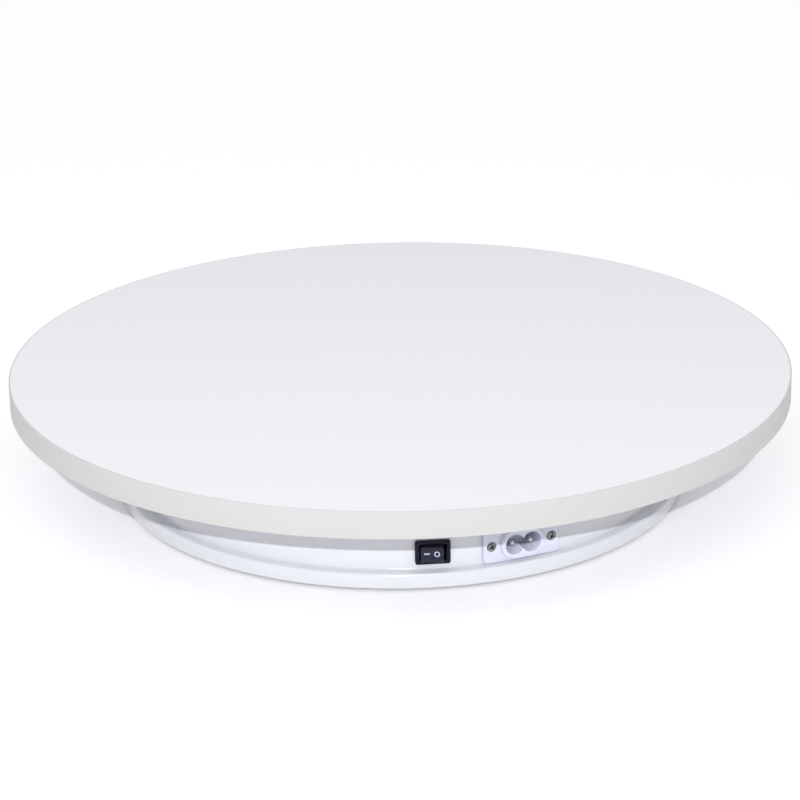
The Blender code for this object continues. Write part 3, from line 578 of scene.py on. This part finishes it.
def join(target, *pieces):
    return combine(target, "UNION", pieces)


def place_piece(obj, body, slot, *nodes):
    """Puts a finished piece on its body, in the stead of the CAD nodes that it replaces."""
    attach(obj, body)
    if nodes:
        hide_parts(*nodes)
    return obj


def upright_through(node):
    """The (x, y) place of a node's upright axis."""
    low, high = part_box(node)
    return (low.x + high.x) / 2, (low.y + high.y) / 2


def azimuth_of(node):
    x, y = upright_through(node)
    return math.degrees(math.atan2(x, -y))


# ---------------------------------------------------------------- platter


def make_platter():
    """The board and the band round its edge, which has a seam where its ends meet."""
    hair, joint_gap = 0.08 * MM, 0.02 * MM
    inner = PLATTER_RADIUS - BAND_THICKNESS
    board_radius = inner - joint_gap
    board = lathe(
        "board",
        solid_profile([(board_radius, PLATTER_TOP, hair), (board_radius, PLATTER_BOTTOM, hair)]),
        laminate(),
        256,
    )
    place_piece(board, "turntable", "board_laminate", "platter_board")
    ease = 0.3 * MM
    band = lathe(
        "edge_band",
        eased(
            [
                (inner, PLATTER_TOP, 0),
                (PLATTER_RADIUS, PLATTER_TOP, ease),
                (PLATTER_RADIUS, PLATTER_BOTTOM, ease),
                (inner, PLATTER_BOTTOM, 0),
            ]
        ),
        band_plastic(),
        256,
    )
    seam_half_width, seam_depth, seam_azimuth = 0.06 * MM, 0.2 * MM, 158
    seam = box(
        "seam",
        (-seam_half_width, -PLATTER_RADIUS - PAST, PLATTER_BOTTOM - PAST),
        (seam_half_width, -PLATTER_RADIUS + seam_depth, PLATTER_TOP + PAST),
    )
    cut(band, turn_to(seam, seam_azimuth))
    place_piece(band, "turntable", "edge_band", "platter_edge_band")


# ---------------------------------------------------------------- base


def make_base_shell():
    """The rim, ledge, wall, deck and well as one turned wall, with what is moulded on it."""
    inner_wall = WALL_RADIUS - SHELL
    rim_inner = BASE_RADIUS - SHELL
    draft = 0.4 * MM
    bush_hole = 6.1 * MM
    boss_radius = 9.5 * MM
    boss_bottom = 17.3 * MM
    shell = lathe(
        "shell",
        eased(
            [
                (WELL_RADIUS, DECK_TOP, 0.6 * MM),
                (WALL_RADIUS - draft, DECK_TOP, 3 * MM),
                (WALL_RADIUS, LEDGE_TOP, 0.7 * MM),
                (BASE_RADIUS, LEDGE_TOP, 1.1 * MM),
                (BASE_RADIUS - draft, BASE_BOTTOM, 0.4 * MM),
                (rim_inner, BASE_BOTTOM, 0.4 * MM),
                (rim_inner, LEDGE_TOP - SHELL, 0.5 * MM),
                (inner_wall, LEDGE_TOP - SHELL, 0.5 * MM),
                (inner_wall, DECK_UNDER, 0.5 * MM),
                (WELL_RADIUS + SHELL, DECK_UNDER, 0.5 * MM),
                (WELL_RADIUS + SHELL, WELL_UNDER, 0.5 * MM),
                (boss_radius, WELL_UNDER, 0.5 * MM),
                (boss_radius, boss_bottom, 0.3 * MM),
                (bush_hole, boss_bottom, 0),
                (bush_hole, WELL_FLOOR, 0),
                (WELL_RADIUS, WELL_FLOOR, 0.6 * MM),
            ],
            4,
        ),
        shell_gloss(),
        240,
    )
    add_cradles(shell)
    add_columns(shell)
    add_motor_seat(shell)
    add_panel_seats(shell)
    place_piece(shell, "base", "base_white", "base_shell")


def add_cradles(shell):
    """A window, an axle slot and two saddle blocks for each roller."""
    axle_end, block_centre = 9.5 * MM, 8.5 * MM
    block_half_width, block_half_length, block_bottom = 4.5 * MM, 3 * MM, 29.5 * MM
    window_half_width, window_half_length = 7.4 * MM, 4.5 * MM
    slot_half_width, slot_depth = 1.65 * MM, 1.7 * MM
    blocks, cuts = [], []
    for number in range(1, 7):
        azimuth = azimuth_of(f"roller_{number}")
        centre = Vector(JOINTS[f"roller_spin_{number}"]["pos_m"])
        circle = math.hypot(centre.x, centre.y)
        for side in (-1, 1):
            block = box(
                f"block_{number}_{side}",
                (-block_half_width, -block_half_length, block_bottom),
                (block_half_width, block_half_length, DECK_UNDER + PAST),
            )
            move(block, Matrix.Translation((0, -circle - side * block_centre, 0)))
            blocks.append(turn_to(block, azimuth))
        window = box(
            f"window_{number}",
            (-window_half_width, -circle - window_half_length, DECK_UNDER - PAST),
            (window_half_width, -circle + window_half_length, DECK_TOP + PAST),
        )
        slot = box(
            f"slot_{number}",
            (-slot_half_width, -circle - axle_end, centre.z - slot_depth),
            (slot_half_width, -circle + axle_end, DECK_TOP + PAST),
        )
        cuts += [turn_to(window, azimuth), turn_to(slot, azimuth)]
    join(shell, *blocks)
    cut(shell, *cuts)


def add_columns(shell):
    """The four columns that the base screws turn into."""
    radius, bottom, top = 4 * MM, plate_high.z + 0.3 * MM, DECK_UNDER + PAST
    bore_bottom, bore_top = 1 * MM, 16 * MM
    columns, bores = [], []
    for number in range(1, 5):
        place = upright_through(f"plate_screw_{number}")
        columns.append(rod(f"column_{number}", radius, bottom, top, place))
        bores.append(rod(f"bore_{number}", SCREW_WAY, bore_bottom, bore_top, place, segments=24))
    join(shell, *columns)
    cut(shell, *bores)


def add_motor_seat(shell):
    """Two blind bosses for the motor's screws, and the way of its shaft and collar."""
    boss_radius, boss_top = 4 * MM, WELL_FLOOR + 3.2 * MM
    hole_radius, hole_top = 2.1 * MM, boss_top - 1 * MM
    collar_way = 6.5 * MM
    below = WELL_UNDER - PAST
    bosses, holes = [], []
    for number in (1, 2):
        place = upright_through(f"motor_screw_{number}")
        bosses.append(rod(f"boss_{number}", boss_radius, WELL_FLOOR - PAST, boss_top, place))
        holes.append(rod(f"hole_{number}", hole_radius, below, hole_top, place))
    holes.append(rod("shaft_way", collar_way, below, WELL_FLOOR + PAST, (0, SHAFT_Y)))
    join(shell, *bosses)
    cut(shell, *holes)


def add_panel_seats(shell):
    """The flats that the inlet and the switch stand on, and their openings."""
    inlet_half, backing_rise, behind_flat = 18.5 * MM, 9 * MM, 0.7 * MM
    backing = box(
        "inlet_backing",
        (-inlet_half, -INLET_FLAT + behind_flat, LEDGE_TOP - PAST),
        (inlet_half, -INLET_BACKING, PANEL_Z + backing_rise),
    )
    flat = box(
        "inlet_flat",
        (-inlet_half, -WALL_RADIUS - 0.2 * MM, LEDGE_TOP + 0.05 * MM),
        (inlet_half, -INLET_FLAT, DECK_TOP + PAST),
    )
    pad_half_width, pad_half_height, pad_root = 8.5 * MM, 6.2 * MM, 1.5 * MM
    switch_pad = box(
        "switch_pad",
        (-pad_half_width, -WALL_RADIUS, PANEL_Z - pad_half_height),
        (pad_half_width, -WALL_RADIUS + pad_root, PANEL_Z + pad_half_height),
    )
    turn_to(switch_pad, SWITCH_AZIMUTH)
    join(shell, backing)
    cut(shell, flat)
    join(shell, switch_pad)
    near, far = WALL_RADIUS - 8 * MM, WALL_RADIUS + 4 * MM
    socket_outline = stadium(22.2 * MM, 13.6 * MM)
    holes = [loft("socket_way", [panel_loop(socket_outline, d) for d in (near, far)])]
    for number in (1, 2):
        screw_x = upright_through(f"inlet_screw_{number}")[0]
        holes.append(round_way(f"screw_way_{number}", INLET_SCREW_WAY, screw_x, near, far))
    half_width, half_height = 6.8 * MM, 4.6 * MM
    switch_way = box(
        "switch_way",
        (-half_width, -far, PANEL_Z - half_height),
        (half_width, -near, PANEL_Z + half_height),
    )
    holes.append(turn_to(switch_way, SWITCH_AZIMUTH))
    cut(shell, *holes)


def make_bottom_plate():
    """The plate with vents under the motor, screw holes and a shallow ring groove."""
    radius = plate_high.x
    made = lathe(
        "underside",
        solid_profile([(radius, plate_high.z, 0.3 * MM), (radius, plate_low.z, 0.8 * MM)]),
        plate_texture(),
    )
    cutters = []
    below, above = 1 * MM, 8 * MM
    vents, pitch, vent_width = 7, 6 * MM, 2.5 * MM
    end_length, middle_length = 30 * MM, 36 * MM
    for number in range(vents):
        x = (number - (vents - 1) / 2) * pitch
        length = end_length if number in (0, vents - 1) else middle_length
        outline = stadium(length, vent_width, steps=8)
        loops = [[(x + p[1], SHAFT_Y + p[0], z) for p in outline] for z in (below, above)]
        cutters.append(loft(f"vent_{number}", loops))
    for number in range(1, 5):
        place = upright_through(f"plate_screw_{number}")
        cutters.append(rod(f"screw_hole_{number}", SCREW_WAY, below, above, place, segments=24))
    groove_top, groove_mouth = plate_low.z + 0.5 * MM, plate_low.z - PAST
    inner, outer, flare = radius - 6 * MM, radius - 4.8 * MM, 0.2 * MM
    section = [
        (inner, groove_top),
        (outer, groove_top),
        (outer + flare, groove_mouth),
        (inner - flare, groove_mouth),
    ]
    groove = lathe("groove", section)
    cut(made, *cutters, groove)
    place_piece(made, "base", "plate_white", "bottom_plate")


def make_feet():
    """Four rubber feet, each with a shallow hollow in its sole."""
    hollow, draft = 0.5 * MM, 0.25 * MM
    for number in range(1, 5):
        low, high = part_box(f"foot_{number}")
        radius = (high.x - low.x) / 2
        sole_inner, hollow_radius = radius - 2.6 * MM, radius - 3.2 * MM
        profile = solid_profile(
            [
                (radius, high.z, 0.15 * MM),
                (radius - draft, 0, 0.6 * MM),
                (sole_inner, 0, 0.3 * MM),
                (hollow_radius, hollow, 0.3 * MM),
            ]
        )
        foot = lathe(f"rubber_foot_{number}", profile, foot_rubber(), 72)
        move(foot, Matrix.Translation((*upright_through(f"foot_{number}"), 0)))
        place_piece(foot, "base", "foot_rubber", f"foot_{number}")


# ---------------------------------------------------------------- screws

COUNTERSUNK_LIP = 0.25 * MM
DOME_TURNS = [math.pi / 2 * i / 8 for i in range(1, 9)]


def cross_screw(name, head_radius, head_height, shank_radius, length, finish, cone=0.0):
    """A domed screw with a cross recess. The head's edge is at z = 0 and the shank is below. A pan
    head has no cone; a countersunk one has a cone as deep as this, under a thin lip."""
    tip = 1.2 * shank_radius
    lip = COUNTERSUNK_LIP if cone else 0.35 * head_height
    dome = head_height if cone else head_height - lip
    edge = 0 if cone else lip
    head = [(head_radius * math.sin(t), edge + dome * math.cos(t)) for t in DOME_TURNS]
    under = -lip if cone else 0
    shank = [
        (head_radius, under),
        (shank_radius, under - cone),
        (shank_radius, tip - length),
        (0, -length),
    ]
    body = lathe(name, [(0, head_height)] + head + shank, finish, 48)
    arm, width, depth = 0.66 * head_radius, 0.2 * head_radius, 0.6 * head_radius
    slots = []
    for number, turn in enumerate((0, 90)):
        top = [(-arm, -width), (arm, -width), (arm, width), (-arm, width)]
        foot = [(0.45 * x, 0.75 * y) for x, y in top]
        loops = [
            [(x, y, head_height - depth) for x, y in foot],
            [(x, y, head_height + 0.2 * MM) for x, y in top],
        ]
        arm_cut = loft(f"{name}_arm_{number}", loops)
        slots.append(move(arm_cut, Matrix.Rotation(math.radians(turn), 4, "Z")))
    join(slots[0], slots[1])
    return cut(body, slots[0])


def make_plate_screws():
    head_radius, head_height, shank_radius = 2.9 * MM, 1.9 * MM, 1.5 * MM
    for number in range(1, 5):
        low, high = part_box(f"plate_screw_{number}")
        seat = low.z + head_height
        length = high.z - seat
        name = f"base_screw_{number}"
        made = cross_screw(name, head_radius, head_height, shank_radius, length, zinc_plate())
        place = Matrix.Translation((*upright_through(f"plate_screw_{number}"), seat))
        spin = Matrix.Rotation(math.radians(23 * number), 4, "Z")
        move(made, place @ Matrix.Rotation(math.pi, 4, "X") @ spin)
        place_piece(made, "base", "screw_zinc", f"plate_screw_{number}")


# ---------------------------------------------------------------- power inlet

LOBE_X = 3.8 * MM
LOBE_RADIUS = 4.4 * MM
WAIST_HALF_FLAT = 0.12 * MM


def figure_eight(inset=0.0):
    """Two round lobes that meet at a narrow waist."""
    radius = LOBE_RADIUS - inset
    bend = math.degrees(math.acos((LOBE_X - WAIST_HALF_FLAT) / radius))
    right = arc((LOBE_X, 0), radius, -180 + bend, 180 - bend, 40)
    left = arc((-LOBE_X, 0), radius, bend, 360 - bend, 40)
    return right + left


def make_inlet():
    """The socket: its eared flange, its rim, the block behind, and the figure-eight hollow."""
    width, height = inlet_high.x - inlet_low.x, inlet_high.z - inlet_low.z
    corner, overlap = 2.4 * MM, 0.7 * MM
    body = panel_slab(
        "socket",
        lambda inset: rounded_rectangle(width, height, corner, inset),
        INLET_SEAT,
        FLANGE_FACE,
        0.45 * MM,
        inlet_nylon(),
    )
    rim_width, rim_height = 20.2 * MM, 13 * MM
    rim = panel_slab(
        "socket_rim",
        lambda inset: stadium(rim_width, rim_height, inset),
        FLANGE_FACE - overlap,
        MOUTH,
        0.5 * MM,
    )
    back_end = -inlet_high.y
    back_outline = stadium(21.6 * MM, 13 * MM)
    back = loft(
        "socket_back",
        [panel_loop(back_outline, distance) for distance in (back_end, INLET_SEAT + overlap)],
    )
    join(body, rim, back)
    depth, flare = 11 * MM, 0.3 * MM
    pin_way = 1.4 * MM
    head, lip, clearance, sink = 2.2 * MM, 0.35 * MM, 0.1 * MM, 4 * MM
    hollow = loft(
        "socket_hollow",
        [
            panel_loop(figure_eight(), MOUTH - depth),
            panel_loop(figure_eight(), MOUTH - 1.5 * flare),
            panel_loop(figure_eight(-0.35 * flare), MOUTH - 0.6 * flare),
            panel_loop(figure_eight(-flare), MOUTH),
            panel_loop(figure_eight(-flare), MOUTH + PAST),
        ],
    )
    cutters = [hollow]
    for number in (1, 2):
        pin_x = upright_through(f"inlet_pin_{number}")[0]
        floor = MOUTH - depth + PAST
        cutters.append(round_way(f"pin_way_{number}", pin_way, pin_x, back_end - PAST, floor))
        countersink = lathe(
            f"countersink_{number}",
            [
                (0, PAST),
                (head + clearance, PAST),
                (head + clearance, clearance),
                (head, 0),
                (head, -lip),
                (INLET_SCREW_WAY, -lip - head + INLET_SCREW_WAY),
                (INLET_SCREW_WAY, -sink),
                (0, -sink),
            ],
            segments=48,
        )
        screw_x = upright_through(f"inlet_screw_{number}")[0]
        cutters.append(stand_out(countersink, screw_x, FLANGE_FACE - clearance))
    cut(body, *cutters)
    place_piece(body, "base", "inlet_white", "inlet_body")
    make_pins()
    make_inlet_screws()


def round_way(name, radius, x, near, far):
    loops = [panel_loop(arc((0, 0), radius, 0, 345, 23), distance, x) for distance in (near, far)]
    return loft(name, loops)


def stand_out(obj, x, distance):
    """Points what was made along +Z out of the panel, with its origin at a distance."""
    place = Matrix.Translation((x, -distance, PANEL_Z))
    return move(obj, place @ Matrix.Rotation(math.pi / 2, 4, "X"))


def make_pins():
    chamfer = 0.3 * MM
    for number in (1, 2):
        low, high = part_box(f"inlet_pin_{number}")
        radius = (high.x - low.x) / 2
        length = high.y - low.y
        nose = [
            (radius * math.sin(t), length - radius * (1 - math.cos(t))) for t in DOME_TURNS
        ]
        root = [(radius, chamfer), (radius - chamfer, 0), (0, 0)]
        pin = lathe(f"contact_pin_{number}", [(0, length)] + nose + root, contact_nickel(), 40)
        stand_out(pin, upright_through(f"inlet_pin_{number}")[0], -high.y)
        place_piece(pin, "base", "contact_nickel", f"inlet_pin_{number}")


def make_inlet_screws():
    dome, shank = 0.5 * MM, 1 * MM
    for number, turn in ((1, 28), (2, 67)):
        low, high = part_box(f"inlet_screw_{number}")
        edge = -low.y - dome
        radius = (high.x - low.x) / 2
        length = high.y - low.y - dome
        cone = radius - shank
        name = f"socket_screw_{number}"
        made = cross_screw(name, radius, dome, shank, length, nickel_plate(), cone)
        move(made, Matrix.Rotation(math.radians(turn), 4, "Z"))
        stand_out(made, upright_through(f"inlet_screw_{number}")[0], edge)
        place_piece(made, "base", "screw_nickel", f"inlet_screw_{number}")


# ---------------------------------------------------------------- rocker switch


def make_switch():
    """The frame and case in one, with the cavity that the rocker turns in."""
    bezel_width, bezel_height, bezel_thickness, corner = 15 * MM, 10.5 * MM, 1.8 * MM, 1 * MM
    face = SWITCH_SEAT + bezel_thickness
    body = panel_slab(
        "switch_frame",
        lambda inset: rounded_rectangle(bezel_width, bezel_height, corner, inset),
        SWITCH_SEAT,
        face,
        0.6 * MM,
        switch_black(),
    )
    case_half_width, case_half_height, case_depth = 6.5 * MM, 4.3 * MM, 12 * MM
    case = box(
        "switch_case",
        (-case_half_width, -SWITCH_SEAT - 0.6 * MM, PANEL_Z - case_half_height),
        (case_half_width, -SWITCH_SEAT + case_depth, PANEL_Z + case_half_height),
    )
    half_x, half_z, depth, flare = 5.7 * MM, 3.6 * MM, 7.5 * MM, 0.12 * MM
    cavity_corner = 0.5 * MM
    loops = []
    for grow, distance in (
        (0, face - depth),
        (0, face - 2 * flare),
        (flare, face),
        (flare, face + PAST),
    ):
        width, height = 2 * (half_x + grow), 2 * (half_z + grow)
        loops.append(panel_loop(rounded_rectangle(width, height, cavity_corner), distance))
    cavity = loft("switch_cavity", loops)
    join(body, case)
    cut(body, cavity)
    turn_to(body, SWITCH_AZIMUTH)
    place_piece(body, "base", "switch_black", "switch_body")
    make_rocker()


def make_rocker():
    """The rocker in its own frame: the pivot is the origin, and it faces -Y."""
    half_length, half_height = 4.9 * MM, 3.4 * MM
    end, dip, depth, foot = 3.8 * MM, 3.1 * MM, 3.2 * MM, 3.6 * MM
    outline = eased(
        [
            (-half_length, -end, 0.55 * MM),
            (-foot, depth, 0.6 * MM),
            (foot, depth, 0.6 * MM),
            (half_length, -end, 0.55 * MM),
            (0, -dip, 6 * MM),
        ]
    )
    ease, steps = 0.3 * MM, 3
    loops = [[(x, y, z) for x, y in outline] for z in (-half_height, half_height)]
    rocker = loft("rocker", loops, rocker_black())
    caps = [e for e in rocker.data.edges if is_cap_edge(rocker.data, e, half_height)]
    bevel_edges(rocker, {e.index for e in caps}, ease, steps)
    lean = math.atan2(end - dip, half_length)
    proud, sunk, rise = 0.04 * MM, -0.15 * MM, 0.45 * MM
    bar_outline = rounded_rectangle(2.4 * MM, 0.5 * MM, 0.1 * MM, steps=2)
    bar_loops = [[(x, -out, z) for x, z in bar_outline] for out in (sunk, proud)]
    bar = loft("mark_line", bar_loops, mark_white())
    outer, inner = 1.2 * MM, 0.82 * MM
    ring_section = [(outer, proud), (outer, sunk), (inner, sunk), (inner, proud)]
    ring = lathe("mark_ring", ring_section, mark_white(), 64)
    move(ring, Matrix.Rotation(math.pi / 2, 4, "X"))
    for mark, x, side in ((bar, -2.2 * MM, -1), (ring, 2.05 * MM, 1)):
        surface_y = -dip - abs(x) * math.tan(lean)
        tilt = Matrix.Rotation(-side * lean, 4, "Z")
        move(mark, Matrix.Translation((x, surface_y, rise)) @ tilt)
    place = (
        Matrix.Rotation(math.radians(SWITCH_AZIMUTH), 4, "Z")
        @ Matrix.Translation((0, -ROCKER_PIVOT, PANEL_Z))
        @ Matrix.Rotation(ROCKER_REST, 4, "Z")
    )
    for piece in (rocker, bar, ring):
        move(piece, place)
    place_piece(rocker, "rocker", "rocker_black", "switch_rocker")
    place_piece(bar, "rocker", "rocker_black")
    place_piece(ring, "rocker", "rocker_black")


def is_cap_edge(mesh, edge, height):
    ends = [mesh.vertices[i].co.z for i in edge.vertices]
    return all(abs(abs(z) - height) < 1e-7 for z in ends) and ends[0] * ends[1] > 0


def bevel_edges(obj, chosen, width, segments):
    work = bmesh.new()
    work.from_mesh(obj.data)
    work.edges.ensure_lookup_table()
    edges = [work.edges[i] for i in chosen]
    bmesh.ops.bevel(work, geom=edges, offset=width, segments=segments, profile=0.5, affect="EDGES")
    work.to_mesh(obj.data)
    work.free()
    obj.data.shade_smooth()
    obj.data.set_sharp_from_angle(angle=math.radians(40))


# ---------------------------------------------------------------- inner pieces in their CAD shape


def finish_inner_nodes():
    """Gives each CAD node that still shows a finished surface."""
    brown = wire_skin("wire_brown", (0.23, 0.085, 0.035))
    blue = wire_skin("wire_blue", (0.03, 0.11, 0.40))
    finishes = {
        "carrier_disc": carrier_plastic(),
        "ring_gear": acetal(),
        "pinion": acetal(),
        "roller_axle": drawn_steel(),
        "roller": acetal(),
        "platter_screw": zinc_plate(),
        "gear_screw": zinc_plate(),
        "motor_screw": zinc_plate(),
        "pinion_screw": zinc_plate(),
        "motor_body": drawn_steel(),
        "motor_shaft": drawn_steel(),
        "spindle_bush": bronze(),
        "spindle": drawn_steel(),
        "inlet_nut": nickel_plate(),
        "switch_terminal": nickel_plate(),
        "wire_inlet_to_motor": blue,
        "wire": brown,
    }
    for node, obj in frame["nodes"].items():
        if obj.hide_render:
            continue
        key = next(key for key in finishes if node.startswith(key))
        obj.data.materials.clear()
        obj.data.materials.append(finishes[key])


# ---------------------------------------------------------------- stage, light and camera

CAMERA_AZIMUTH = math.radians(-23.93)
CAMERA_ELEVATION = math.radians(19.98)
CAMERA_ROLL = math.radians(-0.82)
CAMERA_DISTANCE = 8 * PLATTER_RADIUS
CAMERA_LENS = 140
AIM_LEFT = 0.0013 * PLATTER_RADIUS
AIM_BELOW_TOP = 0.1062 * PLATTER_RADIUS
FLOOR_HALF_SIZE = 60


def direction(azimuth, elevation):
    """The unit vector from the object towards an azimuth and elevation, in radians."""
    flat = math.cos(elevation)
    return Vector((math.sin(azimuth) * flat, -math.cos(azimuth) * flat, math.sin(elevation)))


def make_camera():
    data = bpy.data.cameras.new("camera")
    data.lens = CAMERA_LENS
    data.sensor_width = 36
    data.clip_end = 50
    camera = bpy.data.objects.new("camera", data)
    bpy.context.scene.collection.objects.link(camera)
    top = Vector((0, 0, PLATTER_TOP))
    across = Vector((math.cos(CAMERA_AZIMUTH), math.sin(CAMERA_AZIMUTH), 0))
    aim = top - AIM_LEFT * across - Vector((0, 0, AIM_BELOW_TOP))
    camera.location = top + CAMERA_DISTANCE * direction(CAMERA_AZIMUTH, CAMERA_ELEVATION)
    look = (aim - camera.location).to_track_quat("-Z", "Y").to_matrix().to_4x4()
    camera.matrix_world = (
        Matrix.Translation(camera.location) @ look @ Matrix.Rotation(CAMERA_ROLL, 4, "Z")
    )
    bpy.context.scene.camera = camera


def add_lamp(kind, name, azimuth, elevation, power, distance=2.0):
    """A lamp aimed at the platter's top. Its azimuth is counted from the camera's, in degrees."""
    data = bpy.data.lights.new(name, kind)
    data.energy = power
    light = bpy.data.objects.new(name, data)
    bpy.context.scene.collection.objects.link(light)
    back = direction(CAMERA_AZIMUTH + math.radians(azimuth), math.radians(elevation))
    light.location = Vector((0, 0, PLATTER_TOP)) + distance * back
    light.rotation_mode = "QUATERNION"
    light.rotation_quaternion = (-back).to_track_quat("-Z", "Y")
    return data


def make_sky():
    """A plain dome of light that grows brighter from the horizon up. Heights run from 0 at the
    horizon to 1 overhead."""
    low_height, high_height = 0.05, 0.75
    horizon_light, overhead_light = 0.27, 0.755
    world = bpy.data.worlds.new("studio")
    world.use_nodes = True
    nodes, links = world.node_tree.nodes, world.node_tree.links
    background = nodes["Background"]
    place = nodes.new("ShaderNodeTexCoord")
    split = nodes.new("ShaderNodeSeparateXYZ")
    rise = nodes.new("ShaderNodeMapRange")
    rise.interpolation_type = "SMOOTHSTEP"
    rise.inputs["From Min"].default_value = low_height
    rise.inputs["From Max"].default_value = high_height
    rise.inputs["To Min"].default_value = horizon_light
    rise.inputs["To Max"].default_value = overhead_light
    links.new(place.outputs["Generated"], split.inputs["Vector"])
    links.new(split.outputs["Z"], rise.inputs["Value"])
    links.new(rise.outputs["Result"], background.inputs["Strength"])
    background.inputs["Color"].default_value = (0.98, 0.985, 1.0, 1)
    bpy.context.scene.world = world


def make_stage():
    work = bmesh.new()
    bmesh.ops.create_grid(work, x_segments=1, y_segments=1, size=FLOOR_HALF_SIZE)
    made, nodes, links = blank_material("stage_white")
    shader = nodes["Principled BSDF"]
    shader.inputs["Base Color"].default_value = (0.93, 0.93, 0.93, 1)
    shader.inputs["Roughness"].default_value = 0.9
    shader.inputs["Specular IOR Level"].default_value = 0.1
    shader.inputs["Emission Color"].default_value = (1, 1, 1, 1)
    shader.inputs["Emission Strength"].default_value = 0.08
    floor = finish_mesh("floor", work, made)
    make_sky()
    key = add_lamp("SUN", "key", azimuth=-0.6, elevation=27.8, power=2.04)
    key.angle = math.radians(0.8)
    key.color = (0.97, 0.985, 1.0)
    front = add_lamp("AREA", "front", azimuth=-12, elevation=50, power=1.6, distance=1.1)
    front.shape = "RECTANGLE"
    front.size, front.size_y = 0.9, 0.6
    bpy.context.scene.view_settings.view_transform = "Standard"


def main():
    make_platter()
    make_base_shell()
    make_bottom_plate()
    make_feet()
    make_plate_screws()
    make_inlet()
    make_switch()
    finish_inner_nodes()
    make_stage()
    make_camera()


main()
